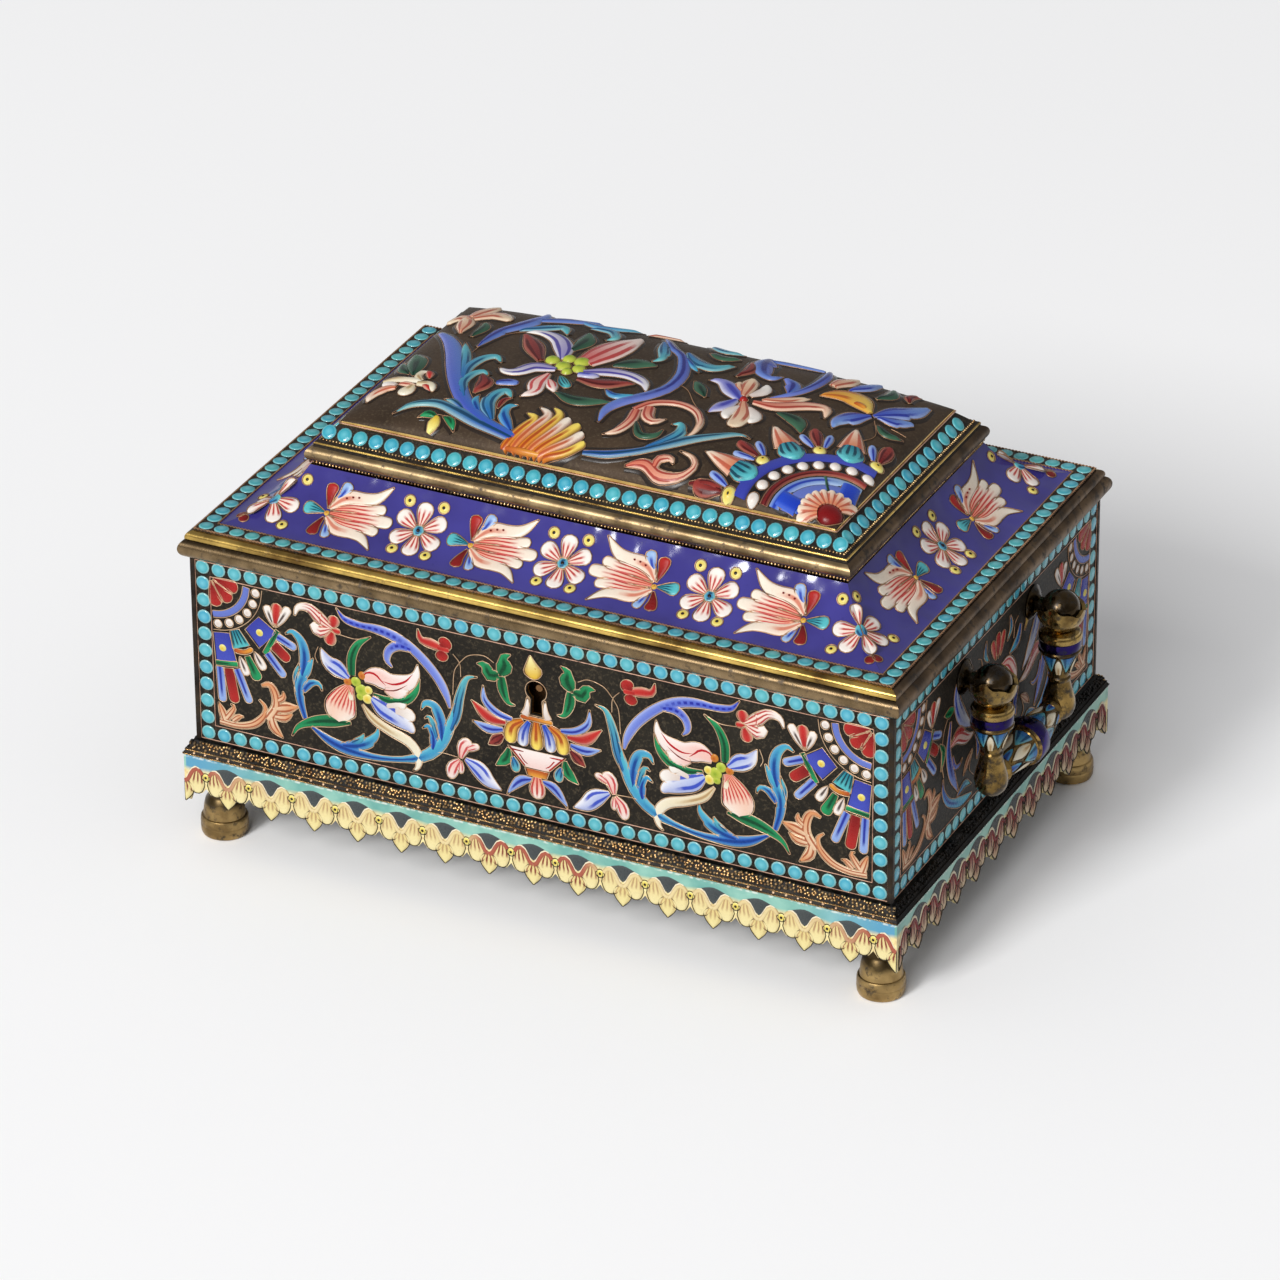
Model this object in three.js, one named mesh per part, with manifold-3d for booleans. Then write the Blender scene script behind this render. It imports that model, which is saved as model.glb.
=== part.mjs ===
// Enamelled table casket with a hinged lid, a lock and a swinging handle at each end.
// Millimetres, +Z up. The front faces -Y and the origin lies on the table under the middle.
import * as THREE from 'three';
import { mergeVertices } from 'three/addons/utils/BufferGeometryUtils.js';
import Module from 'manifold-3d';

const wasm = await Module();
wasm.setup();

// Box: outer faces of the walls and the levels of their edges
const wallHalfX = 83.2;
const wallHalfY = 55.0;
const wallThickness = 1.2;
const wallTop = 69.4;
const baseTop = 21.2;
const baseThickness = 1.2;
const liningLevel = 24.8;
const liningThickness = 1.0;
const seam = 0.1;          // gap left between soldered neighbours
const runningGap = 0.3;    // gap between pieces that move past each other

// Corner strips, plinth moulding and apron, measured outwards from the wall face
const stripLeg = 2.2;
const stripThickness = 0.5;
const plinthTop = 24.6;
const apronOutside = 2.5;
const apronThickness = 1.0;
const apronNotch = 13.6;   // level between two lobes
const apronShoulder = 12.9; // level between a lobe and a drop
const apronLobe = 10.75;   // level that a lobe's curve is drawn towards
const apronTip = 9.4;
const apronUnitsLong = 16;
const apronUnitsShort = 11;

// Turned feet
const footX = 79.5;
const footY = 51.3;
const footRadius = 5.4;
const footNeck = 3.3;
const footTop = 19.9;

// Lid: offsets from the wall face, negative is inwards
const lidBottom = wallTop + runningGap;
const flangeRadius = 2.3;
const flangeInner = -3.2;
const flangeTop = 75.9;
const filletRadius = 0.55;
const filletLevel = 74.75;
const coveRim = -0.5;
const coveRimLevel = 76.0;
const coveTop = -19.3;
const coveTopLevel = 87.4;
const coveThickness = 1.2;
const stepBottom = 87.6;
const stepRadius = 1.75;
const stepRadiusLevel = 89.95;
const stepWall = 1.3;
const bevelBottom = -20.9;
const bevelBottomLevel = 92.9;
const bevelTop = -24.1;
const bevelTopLevel = 95.9;
const topEdge = -24.2;
const topEdgeLevel = 96.6;
const topThickness = 1.2;
const crownRise = 7.6;

// Back hinge, under the overhang of the lid's flange
const hingeY = 56.3;
const hingeZ = 68.1;
const knuckleRadius = 1.2;
const hingePinRadius = 0.6;
const hingePinPlay = 0.08;
const hingeHalf = 50;
const knuckleCount = 5;
const hingeLeafThickness = 0.7;
const hingeLeafDrop = 8;

// Lock behind the front wall
const keyholeLevel = 56.0;
const keyholeRadius = 2.35;
const keyholeFoot = 50.2;
const keyholeFootHalf = 1.35;
const lockHalfX = 16;
const lockBottom = 44;
const lockTop = 68.4;
const lockDepth = 4.7;
const lockPlate = 0.8;
const lockRim = 1.2;
const keyPostRadius = 0.8;
const boltThickness = 1.4;
const stapleThickness = 1.6;

// Side handles: pivot line, ball and cup, arm and grip
const pivotX = 90.0;
const pivotY = 18.4;
const pivotZ = 61.0;
const ballRadius = 4.3;
const cupInner = 4.6;
const cupOuter = 5.4;
const cupNotchHalf = 2.9;
const cupNotchFloor = -2.2;
const bracketNeck = 1.6;
const beyond = 9;          // cutters reach this far past the handle's pieces
const pivotPinRadius = 0.95;
const pivotHoleRadius = 1.05;
const armDrop = 23.5;
const elbowRadius = 3.7;
const elbowFlat = 3.0;
const gripRing = 5.2;
const gripCone = 4.3;

// Facets
const turnSteps = 16;
const pinSteps = 12;
const mouldingSteps = 6;
const coveSteps = 8;

const finish = (color, roughness, metalness) => new THREE.MeshStandardMaterial({ color, roughness, metalness });
const enamelGround = finish(0x3a322d, 0.55, 0.3);
const cobaltEnamel = finish(0x3c46b9, 0.18, 0.0);
const creamEnamel = finish(0xd8cfa2, 0.3, 0.0);
const antiqueGilt = finish(0x8d7648, 0.35, 1.0);
const brightGilt = finish(0xb9994f, 0.25, 1.0);
const patinatedMetal = finish(0x3b352c, 0.5, 0.8);
const handleBrass = finish(0x8a7440, 0.3, 1.0);
const handleEnamel = finish(0x4aa9bd, 0.25, 0.0);
const gildedInside = finish(0xc9aa62, 0.3, 1.0);
const lockSteel = finish(0x77736b, 0.45, 1.0);

const casket = new THREE.Group();

function piece(name, geometry, material, parent = casket) {
  const mesh = new THREE.Mesh(geometry, material);
  mesh.name = name;
  parent.add(mesh);
  return mesh;
}

// Points on a round stretch, angles in degrees
function arc(centreX, centreY, radius, from, to, steps) {
  const points = [];
  for (let i = 0; i <= steps; i += 1) {
    const angle = THREE.MathUtils.degToRad(from + ((to - from) * i) / steps);
    points.push([centreX + radius * Math.cos(angle), centreY + radius * Math.sin(angle)]);
  }
  return points;
}

function outline(points) {
  return new THREE.Shape(points.map(([x, y]) => new THREE.Vector2(x, y)));
}

function rectangle(lowX, lowY, highX, highY) {
  return [[lowX, lowY], [highX, lowY], [highX, highY], [lowX, highY]];
}

function extruded(shape, depth, curveSegments = 4) {
  return new THREE.ExtrudeGeometry(shape, { depth, curveSegments, bevelEnabled: false });
}

// An upright plate: the outline is (x, z) and the plate reaches from lowY to highY
function uprightPlate(shape, lowY, highY, curveSegments = 4) {
  const plate = extruded(shape, highY - lowY, curveSegments);
  return plate.rotateX(Math.PI / 2).translate(0, highY, 0);
}

function block(lowX, highX, lowY, highY, lowZ, highZ) {
  const box = new THREE.BoxGeometry(highX - lowX, highY - lowY, highZ - lowZ);
  return box.translate((lowX + highX) / 2, (lowY + highY) / 2, (lowZ + highZ) / 2);
}

// A body turned about Z from (radius, height) points that start and end on the axis
function turned(profile, steps = turnSteps) {
  const points = profile.map(([radius, height]) => new THREE.Vector2(radius, height));
  return new THREE.LatheGeometry(points, steps).rotateX(Math.PI / 2);
}

function solidOf(geometry) {
  const bare = geometry.clone();
  bare.deleteAttribute('normal');
  bare.deleteAttribute('uv');
  const merged = mergeVertices(bare, 1e-4);
  const triVerts = [];
  for (let i = 0; i < merged.index.count; i += 3) {
    const [a, b, c] = [merged.index.getX(i), merged.index.getX(i + 1), merged.index.getX(i + 2)];
    if (a !== b && b !== c && c !== a) triVerts.push(a, b, c);
  }
  const vertProperties = new Float32Array(merged.attributes.position.array);
  return new wasm.Manifold(new wasm.Mesh({ numProp: 3, vertProperties, triVerts: new Uint32Array(triVerts) }));
}

function geometryOf(solid) {
  const mesh = solid.getMesh();
  const geometry = new THREE.BufferGeometry();
  geometry.setAttribute('position', new THREE.BufferAttribute(new Float32Array(mesh.vertProperties), 3));
  geometry.setIndex(new THREE.BufferAttribute(new Uint32Array(mesh.triVerts), 1));
  geometry.computeVertexNormals();
  return geometry;
}

function joined(geometries) {
  return geometries.map(solidOf).reduce((whole, part) => whole.add(part));
}

function rodAlongX(radius, lowX, highX, y, z, steps = turnSteps) {
  const rod = new THREE.CylinderGeometry(radius, radius, highX - lowX, steps);
  return rod.rotateZ(Math.PI / 2).translate((lowX + highX) / 2, y, z);
}

function rodAlongY(radius, lowY, highY, x, z, steps = turnSteps) {
  const rod = new THREE.CylinderGeometry(radius, radius, highY - lowY, steps);
  return rod.translate(x, (lowY + highY) / 2, z);
}

// The four sides, each a quarter turn on from the front
const sides = [
  { name: 'front', turn: 0, half: wallHalfX, reach: wallHalfY },
  { name: 'right', turn: 1, half: wallHalfY, reach: wallHalfX },
  { name: 'back', turn: 2, half: wallHalfX, reach: wallHalfY },
  { name: 'left', turn: 3, half: wallHalfY, reach: wallHalfX },
];

// A mitred length of moulding: the profile is (outwards from the wall face, height)
function mitredLength(profile, side) {
  const length = extruded(outline(profile), 2);
  const position = length.attributes.position;
  for (let i = 0; i < position.count; i += 1) {
    const out = position.getX(i);
    const along = (1 - position.getZ(i)) * (side.half + out - seam);
    position.setXYZ(i, along, -(side.reach + out), position.getY(i));
  }
  length.computeVertexNormals();
  return length.rotateZ((side.turn * Math.PI) / 2);
}

function floorAndWalls() {
  const edge = apronOutside - apronThickness - seam;
  const inX = wallHalfX - wallThickness - seam;
  const inY = wallHalfY - wallThickness - seam;
  const plateX = wallHalfX + edge;
  const plateY = wallHalfY + edge;
  const baseLow = baseTop - baseThickness;
  piece('base_plate', block(-plateX, plateX, -plateY, plateY, baseLow, baseTop), patinatedMetal);
  const liningTop = liningLevel + liningThickness;
  piece('floor_lining', block(-inX, inX, -inY, inY, liningLevel, liningTop), gildedInside);

  const foot = baseTop + seam;
  const face = outline(rectangle(-wallHalfX, foot, wallHalfX, wallTop));
  piece('back_wall', uprightPlate(face, wallHalfY - wallThickness, wallHalfY), enamelGround);

  const keyedFace = outline(rectangle(-wallHalfX, foot, wallHalfX, wallTop));
  const keyhole = [
    ...arc(0, keyholeLevel, keyholeRadius, -60, 240, 12),
    [-keyholeFootHalf, keyholeFoot],
    [keyholeFootHalf, keyholeFoot],
  ];
  keyedFace.holes.push(outline(keyhole));
  piece('front_wall', uprightPlate(keyedFace, -wallHalfY, wallThickness - wallHalfY), enamelGround);

  piece('right_wall', block(wallHalfX - wallThickness, wallHalfX, -inY, inY, foot, wallTop), enamelGround);
  piece('left_wall', block(-wallHalfX, wallThickness - wallHalfX, -inY, inY, foot, wallTop), enamelGround);
}

function cornerStrips() {
  for (const [name, signX, signY] of [['front_left', -1, -1], ['front_right', 1, -1],
    ['back_left', -1, 1], ['back_right', 1, 1]]) {
    const near = seam;
    const far = seam + stripThickness;
    const angle = [
      [near, near], [near, -stripLeg], [far, -stripLeg], [far, far], [-stripLeg, far], [-stripLeg, near],
    ];
    const section = angle.map(([x, y]) => [signX * (wallHalfX + x), signY * (wallHalfY + y)]);
    const low = plinthTop + seam;
    const strip = extruded(outline(section), wallTop - low).translate(0, 0, low);
    piece(`corner_strip_${name}`, strip, antiqueGilt);
  }
}

function plinth() {
  const low = baseTop + seam;
  const profile = [
    [seam, low], [2.7, low], [2.5, low + 0.6], [1.7, low + 1.4], [1.2, low + 2.2], [0.7, low + 3.0],
    [seam, plinthTop],
  ];
  for (const side of sides) piece(`plinth_${side.name}`, mitredLength(profile, side), patinatedMetal);
}

// One apron unit hangs two round lobes between the halves of two pointed drops
function apronOutline(half, units, top) {
  const shape = new THREE.Shape();
  const unit = (2 * half) / units;
  const bulge = apronTip + 1.4;
  shape.moveTo(half, top);
  shape.lineTo(-half, top);
  shape.lineTo(-half, apronTip);
  for (let i = 0; i < units; i += 1) {
    const x = -half + i * unit;
    shape.quadraticCurveTo(x + 0.16 * unit, bulge, x + 0.21 * unit, apronShoulder);
    shape.quadraticCurveTo(x + 0.35 * unit, apronLobe, x + 0.5 * unit, apronNotch);
    shape.quadraticCurveTo(x + 0.65 * unit, apronLobe, x + 0.79 * unit, apronShoulder);
    shape.quadraticCurveTo(x + 0.84 * unit, bulge, x + unit, apronTip);
  }
  return shape;
}

function apron() {
  const top = baseTop - seam;
  for (const side of sides) {
    const long = side.turn % 2 === 0;
    const half = side.half + (long ? apronOutside : apronOutside - apronThickness - seam);
    const units = long ? apronUnitsLong : apronUnitsShort;
    const outside = -(side.reach + apronOutside);
    const plate = uprightPlate(apronOutline(half, units, top), outside, outside + apronThickness, 3);
    piece(`apron_${side.name}`, plate.rotateZ((side.turn * Math.PI) / 2), creamEnamel);
  }
}

function feet() {
  const profile = [
    [0, 0], [footRadius - 0.9, 0], [footRadius - 0.1, 0.7], [footRadius, 2.0], [footRadius - 0.35, 2.7],
    [footRadius - 0.2, 3.6], [footRadius - 0.7, 4.3], [footNeck + 1.0, 7.2], [footNeck, 9.2],
    [footNeck, 12.0], [footNeck + 1.0, 12.8], [footNeck + 1.0, footTop], [0, footTop],
  ];
  for (const [name, signX, signY] of [['front_left', -1, -1], ['front_right', 1, -1],
    ['back_left', -1, 1], ['back_right', 1, 1]]) {
    piece(`foot_${name}`, turned(profile), antiqueGilt).position.set(signX * footX, signY * footY, 0);
  }
}

function lidMouldings(lid) {
  const ledge = coveRimLevel - coveThickness - seam;
  const flange = [
    [flangeInner, lidBottom],
    ...arc(0, lidBottom + flangeRadius, flangeRadius, -70, 72, mouldingSteps),
    ...arc(filletRadius, filletLevel, filletRadius, -30, 90, 3),
    [coveRim + seam, flangeTop],
    [coveRim + seam, ledge],
    [flangeInner, ledge],
  ];
  const step = [
    [bevelBottom - stepWall, stepBottom],
    [coveTop - 0.2, stepBottom],
    ...arc(coveTop - 0.8, stepRadiusLevel, stepRadius, -75, 70, mouldingSteps),
    [bevelBottom + 0.7, bevelBottomLevel - 0.7],
    [bevelBottom, bevelBottomLevel],
    [bevelTop, bevelTopLevel],
    [bevelTop - stepWall, bevelTopLevel],
    [bevelTop - stepWall, bevelTopLevel - stepWall],
    [bevelBottom - stepWall, bevelBottomLevel - stepWall],
  ];
  for (const side of sides) {
    const plain = mitredLength(flange, side);
    const grooved = () => geometryOf(solidOf(plain).subtract(solidOf(hingeLeafGroove())));
    const moulding = side.name === 'back' ? grooved() : plain;
    piece(`lid_flange_${side.name}`, moulding, antiqueGilt, lid);
    piece(`lid_step_${side.name}`, mitredLength(step, side), brightGilt, lid);
  }
}

// Hollow quarter of the lid: level at the rim, steeper towards the step above it
function lidCoves(lid) {
  const run = coveRim - coveTop;
  const rise = coveTopLevel - coveRimLevel;
  const sweep = 2 * Math.atan(rise / run);
  const radius = run / Math.sin(sweep);
  const endAngle = -90 - THREE.MathUtils.radToDeg(sweep);
  const centreLevel = coveRimLevel + radius;
  const profile = [
    ...arc(coveRim, centreLevel, radius, -90, endAngle, coveSteps),
    ...arc(coveRim, centreLevel, radius + coveThickness, endAngle, -90, coveSteps),
  ];
  for (const side of sides) piece(`lid_cove_${side.name}`, mitredLength(profile, side), cobaltEnamel, lid);
}

// Cushion-shaped top: steep at its edges and nearly level in the middle
function lidTop(lid) {
  const halfX = wallHalfX + topEdge;
  const halfY = wallHalfY + topEdge;
  const panel = new THREE.BoxGeometry(2, 2, 2, 14, 8, 1);
  const position = panel.attributes.position;
  for (let i = 0; i < position.count; i += 1) {
    const along = Math.sin((position.getX(i) * Math.PI) / 2);
    const across = Math.sin((position.getY(i) * Math.PI) / 2);
    const rise = crownRise * Math.sqrt((1 - Math.abs(along) ** 3) * (1 - Math.abs(across) ** 3));
    const outer = topEdgeLevel + rise;
    const inner = Math.max(bevelTopLevel + seam, outer - topThickness);
    position.setXYZ(i, halfX * along, halfY * across, position.getZ(i) > 0 ? outer : inner);
  }
  panel.computeVertexNormals();
  piece('lid_top', panel, enamelGround, lid);
}

const knuckleLength = (2 * hingeHalf) / knuckleCount;
const lidLeafLow = lidBottom + seam;
const lidLeafHigh = lidLeafLow + hingeLeafThickness;
const lidLeafFront = hingeY - 3.7;
const lidLeafBack = hingeY + 0.3;

function hingeLeafGroove() {
  const gap = runningGap;
  return block(-hingeHalf - gap, hingeHalf + gap, lidLeafFront - gap, lidLeafBack + gap,
    lidBottom - 1, lidLeafHigh + gap);
}

// Knuckles alternate along the pin: even ones on the box, odd ones on the lid
function knuckles(remainder, web) {
  const parts = [];
  for (let i = remainder; i < knuckleCount; i += 2) {
    const low = -hingeHalf + i * knuckleLength + runningGap / 2;
    const high = low + knuckleLength - runningGap;
    parts.push(rodAlongX(knuckleRadius, low, high, hingeY, hingeZ));
    parts.push(web(low, high));
  }
  return parts;
}

function hinge(lid) {
  const boreHalf = hingeHalf + 1;
  const boreRadius = hingePinRadius + hingePinPlay;
  const bore = solidOf(rodAlongX(boreRadius, -boreHalf, boreHalf, hingeY, hingeZ, pinSteps));
  const leafY = wallHalfY + seam;
  const leafTop = hingeZ - knuckleRadius - runningGap;
  const leafBack = leafY + hingeLeafThickness;
  const bodyWeb = (low, high) => block(low, high, leafY, leafBack, leafTop - 0.5, hingeZ);
  const bodyLeaf = block(-hingeHalf, hingeHalf, leafY, leafBack, leafTop - hingeLeafDrop, leafTop);
  const bodyHalf = joined([bodyLeaf, ...knuckles(0, bodyWeb)]).subtract(bore);
  piece('hinge_body_leaf', geometryOf(bodyHalf), brightGilt);

  const lidWeb = (low, high) => block(low, high, hingeY - 0.5, lidLeafBack, hingeZ, lidLeafLow + 0.3);
  const lidLeaf = block(-hingeHalf, hingeHalf, lidLeafFront, lidLeafBack, lidLeafLow, lidLeafHigh);
  const lidHalf = joined([lidLeaf, ...knuckles(1, lidWeb)]).subtract(bore);
  piece('hinge_lid_leaf', geometryOf(lidHalf), brightGilt, lid);
  piece('hinge_pin', rodAlongX(hingePinRadius, -hingeHalf, hingeHalf, hingeY, hingeZ, pinSteps), lockSteel);
}

// Till lock: the key throws a hooked bolt sideways through the eye of the lid's staple
function lock(lid) {
  const wallInside = wallThickness - wallHalfY + seam;
  const coverFront = wallInside + lockDepth + seam;
  const slot = stapleThickness / 2 + 0.7;
  const rim = lockRim;
  const rimPath = [
    [-slot, lockTop], [-lockHalfX, lockTop], [-lockHalfX, lockBottom], [lockHalfX, lockBottom],
    [lockHalfX, lockTop], [slot, lockTop], [slot, lockTop - rim], [lockHalfX - rim, lockTop - rim],
    [lockHalfX - rim, lockBottom + rim], [rim - lockHalfX, lockBottom + rim], [rim - lockHalfX, lockTop - rim],
    [-slot, lockTop - rim],
  ];
  piece('lock_case', uprightPlate(outline(rimPath), wallInside, wallInside + lockDepth), lockSteel);
  const coverFace = outline(rectangle(-lockHalfX, lockBottom, lockHalfX, lockTop));
  piece('lock_cover', uprightPlate(coverFace, coverFront, coverFront + lockPlate), lockSteel);
  const postFront = wallInside + 2 * seam;
  const post = rodAlongY(keyPostRadius, postFront, coverFront - seam, 0, keyholeLevel, pinSteps);
  piece('key_post', post, lockSteel);

  const boltLow = keyholeLevel + 4.2;
  const boltPath = [
    [-9.5, boltLow], [-1.6, boltLow], [-1.6, boltLow + 0.9], [1.6, boltLow + 0.9], [1.6, boltLow],
    [13, boltLow],
    [13, boltLow + 2], [9, boltLow + 2], [9, boltLow + 5.7], [1.5, boltLow + 5.7], [1.5, boltLow + 3.7],
    [5.9, boltLow + 3.7], [5.9, boltLow + 2], [-9.5, boltLow + 2],
  ];
  const boltFront = wallInside + 1.4;
  piece('lock_bolt', uprightPlate(outline(boltPath), boltFront, boltFront + boltThickness), lockSteel);

  const stapleFoot = boltLow + 2.4;
  const stapleFront = boltFront - 1.0;
  const stapleBack = boltFront + boltThickness + 1.2;
  const flangeFace = -wallHalfY - flangeInner + 2 * seam;
  const staple = outline([
    [stapleFront, stapleFoot], [stapleBack, stapleFoot], [stapleBack, 74.2], [flangeFace, 74.2],
    [flangeFace, lidBottom - 2 * seam], [stapleFront, lidBottom - 2 * seam],
  ]);
  const eye = rectangle(boltFront - 0.4, stapleFoot + 0.8, boltFront + boltThickness + 0.4, stapleFoot + 4.0);
  staple.holes.push(outline(eye));
  const plate = extruded(staple, stapleThickness).rotateX(Math.PI / 2).rotateZ(Math.PI / 2);
  piece('lock_staple', plate.translate(-stapleThickness / 2, 0, 0), lockSteel, lid);
}

// Wall bracket: rosette, neck and the ball that the handle turns on
function bracketGeometry(outwards) {
  const start = wallHalfX + seam;
  const reach = pivotX - start;
  const meet = THREE.MathUtils.radToDeg(Math.asin(bracketNeck / ballRadius));
  const ball = arc(0, reach, ballRadius, meet - 90, 90, 6).slice(0, -1);
  const rosette = [[0, 0], [4.0, 0], [4.0, 0.6], [2.9, 1.2], [bracketNeck, 1.9]];
  const profile = [...rosette, ...ball, [0, reach + ballRadius]];
  const upright = turned(profile, pinSteps);
  const turnedOut = upright.rotateY((outwards * Math.PI) / 2).translate(outwards * start, 0, 0);
  const bore = rodAlongY(pivotHoleRadius, -beyond, beyond, outwards * pivotX, 0, pinSteps);
  return geometryOf(solidOf(turnedOut).subtract(solidOf(bore)));
}

// Arm: a cup with two cheeks round the ball, a collar, a tapered cone and a ball elbow
function armGeometry(inwards) {
  const rimAngle = 24;
  const elbow = arc(0, -armDrop, elbowRadius, -90, 40, 6).slice(1);
  const outside = arc(0, 0, cupOuter, -52, rimAngle, 5);
  const inside = arc(0, 0, cupInner, rimAngle, -90, 7).slice(0, -1);
  const profile = [
    [0, -armDrop - elbowRadius], ...elbow, [2.1, -17.8], [2.4, -15.2], [4.0, -10.2], [4.5, -9.8], [4.6, -9.4],
    [4.6, -5.4], [4.2, -5.0], ...outside, ...inside, [0, -cupInner],
  ];
  const notch = block(-beyond, beyond, -cupNotchHalf, cupNotchHalf, cupNotchFloor, beyond);
  const bore = rodAlongY(pivotHoleRadius, -beyond, beyond, 0, 0, pinSteps);
  const flatEnds = [inwards * elbowFlat, inwards * beyond].sort((a, b) => a - b);
  const flat = block(-beyond, beyond, ...flatEnds, -armDrop - beyond, -armDrop + elbowFlat);
  return geometryOf(solidOf(turned(profile)).subtract(joined([notch, bore, flat])));
}

// Grip: two enamelled cones base to base with a ring between them
function gripGeometry() {
  const end = pivotY - elbowFlat - seam;
  const half = [
    [gripRing, 0], [gripRing, 2.2], [gripCone, 2.8], [2.5, end - 2.2], [2.9, end - 1.6], [2.2, end - 0.6],
    [2.2, end], [0, end],
  ];
  const lower = half.slice(1).reverse().map(([radius, y]) => [radius, -y]);
  const points = [...lower, ...half].map(([radius, y]) => new THREE.Vector2(radius, y));
  return new THREE.LatheGeometry(points, turnSteps);
}

function handle(sideName, outwards) {
  const swing = new THREE.Group();
  swing.position.set(outwards * pivotX, 0, pivotZ);
  casket.add(swing);
  for (const [end, signY] of [['front', -1], ['back', 1]]) {
    const bracket = piece(`${sideName}_bracket_${end}`, bracketGeometry(outwards), handleBrass);
    bracket.position.set(0, signY * pivotY, pivotZ);
    const arm = piece(`${sideName}_arm_${end}`, armGeometry(-signY), handleBrass, swing);
    arm.position.y = signY * pivotY;
    const pinHalf = cupOuter - 0.15;
    const pin = rodAlongY(pivotPinRadius, -pinHalf, pinHalf, 0, 0, pinSteps);
    piece(`${sideName}_pivot_pin_${end}`, pin, lockSteel, swing).position.y = signY * pivotY;
  }
  piece(`${sideName}_grip`, gripGeometry(), handleEnamel, swing).position.z = -armDrop;
}

const lidGroup = new THREE.Group();
casket.add(lidGroup);

floorAndWalls();
cornerStrips();
plinth();
apron();
feet();
lidMouldings(lidGroup);
lidCoves(lidGroup);
lidTop(lidGroup);
hinge(lidGroup);
lock(lidGroup);
handle('right', 1);
handle('left', -1);

export default casket;
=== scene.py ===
import math
import bpy
import numpy as np
from mathutils import Matrix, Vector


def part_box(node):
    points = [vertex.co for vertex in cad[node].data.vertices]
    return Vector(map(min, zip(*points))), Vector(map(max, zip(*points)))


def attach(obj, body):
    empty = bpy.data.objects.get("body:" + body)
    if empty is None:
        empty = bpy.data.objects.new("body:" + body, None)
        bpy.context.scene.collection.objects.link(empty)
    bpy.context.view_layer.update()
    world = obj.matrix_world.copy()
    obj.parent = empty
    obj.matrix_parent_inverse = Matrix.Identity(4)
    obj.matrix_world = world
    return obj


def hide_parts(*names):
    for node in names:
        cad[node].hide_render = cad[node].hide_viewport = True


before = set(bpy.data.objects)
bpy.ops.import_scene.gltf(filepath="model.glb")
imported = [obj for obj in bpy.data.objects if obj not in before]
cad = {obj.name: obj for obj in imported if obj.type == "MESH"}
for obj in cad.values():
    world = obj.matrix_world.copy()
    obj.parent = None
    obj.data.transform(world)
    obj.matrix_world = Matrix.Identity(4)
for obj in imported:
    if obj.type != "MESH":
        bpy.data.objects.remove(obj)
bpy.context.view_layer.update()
mm = 0.001
sides = ("front", "right", "back", "left")
longSides = ("front", "back")
boxCorners = {"front_left": (-1, -1), "front_right": (1, -1), "back_left": (-1, 1), "back_right": (1, 1)}
upward = (0, 0, 1)
print("frame loaded:", len(cad), "nodes")


def reach(node, axis, end=1):  # where a node ends along an axis, in millimetres
    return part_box(node)[end][axis] / mm


halfX = reach("right_wall", 0)
halfY = reach("back_wall", 1)
wallTop = reach("front_wall", 2)
plinthTop = reach("plinth_front", 2)


def place(side, along, out, level):  # run along a side, offset from its wall face, and height
    along, out, level = np.broadcast_arrays(along, out, level)
    spots = {
        "front": (along, -(halfY + out)),
        "right": (halfX + out, along),
        "back": (-along, halfY + out),
        "left": (-(halfX + out), -along),
    }
    return np.stack([*spots[side], level], -1).astype(float)


def halfRun(side):
    return halfX if side in longSides else halfY


def facing(side, out, rise):  # a direction, as seen on a side
    return place(side, 0, out, rise) - place(side, 0, 0, 0)


def straight(side, out, level, face=upward, trim=0.0):  # a path from mitre to mitre
    end = halfRun(side) + out - trim
    return place(side, [-end, end], out, level), False, face


# Node graphs: one class for sockets, one for trees
def operator(operation, reflected=False):
    def apply(self, other):
        first, second = (other, self) if reflected else (self, other)
        return self.graph.maths(operation, first, second)
    return apply


class Value:
    def __init__(self, graph, socket):
        self.graph = graph
        self.socket = socket

    def maths(self, operation, *others):
        return self.graph.maths(operation, self, *others)

    def size(self):
        return self.maths("ABSOLUTE")

    def clamp(self):
        return self.graph.node("ShaderNodeClamp", {}, {"Value": self})

    def step(self, low, high):  # 0 below low, 1 above high
        return ((self - low) / (high - low)).clamp()

    __add__ = operator("ADD")
    __radd__ = operator("ADD", True)
    __sub__ = operator("SUBTRACT")
    __rsub__ = operator("SUBTRACT", True)
    __mul__ = operator("MULTIPLY")
    __rmul__ = operator("MULTIPLY", True)
    __truediv__ = operator("DIVIDE")
    __rtruediv__ = operator("DIVIDE", True)
    __gt__ = operator("GREATER_THAN")
    __lt__ = operator("LESS_THAN")


class Graph:
    def __init__(self, tree):
        self.tree = tree

    def feed(self, node, sockets):  # a list goes into a socket that takes several links
        for key, item in sockets.items():
            for one in item if isinstance(item, list) else [item]:
                if isinstance(one, Value):
                    self.tree.links.new(one.socket, node.inputs[key])
                else:
                    node.inputs[key].default_value = one

    def node(self, kind, settings=None, sockets=None, output=0):
        made = self.tree.nodes.new(kind)
        for name, value in (settings or {}).items():
            setattr(made, name, value)
        self.feed(made, sockets or {})
        return Value(self, made.outputs[output])

    def maths(self, operation, *items):
        return self.node("ShaderNodeMath", {"operation": operation}, dict(enumerate(items)))


def tone(red, green, blue):  # a screen colour as the linear value that shaders take
    shares = [value / 255 for value in (red, green, blue)]
    return tuple(((s + 0.055) / 1.055) ** 2.4 if s > 0.04 else s / 12.92 for s in shares) + (1.0,)


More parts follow.
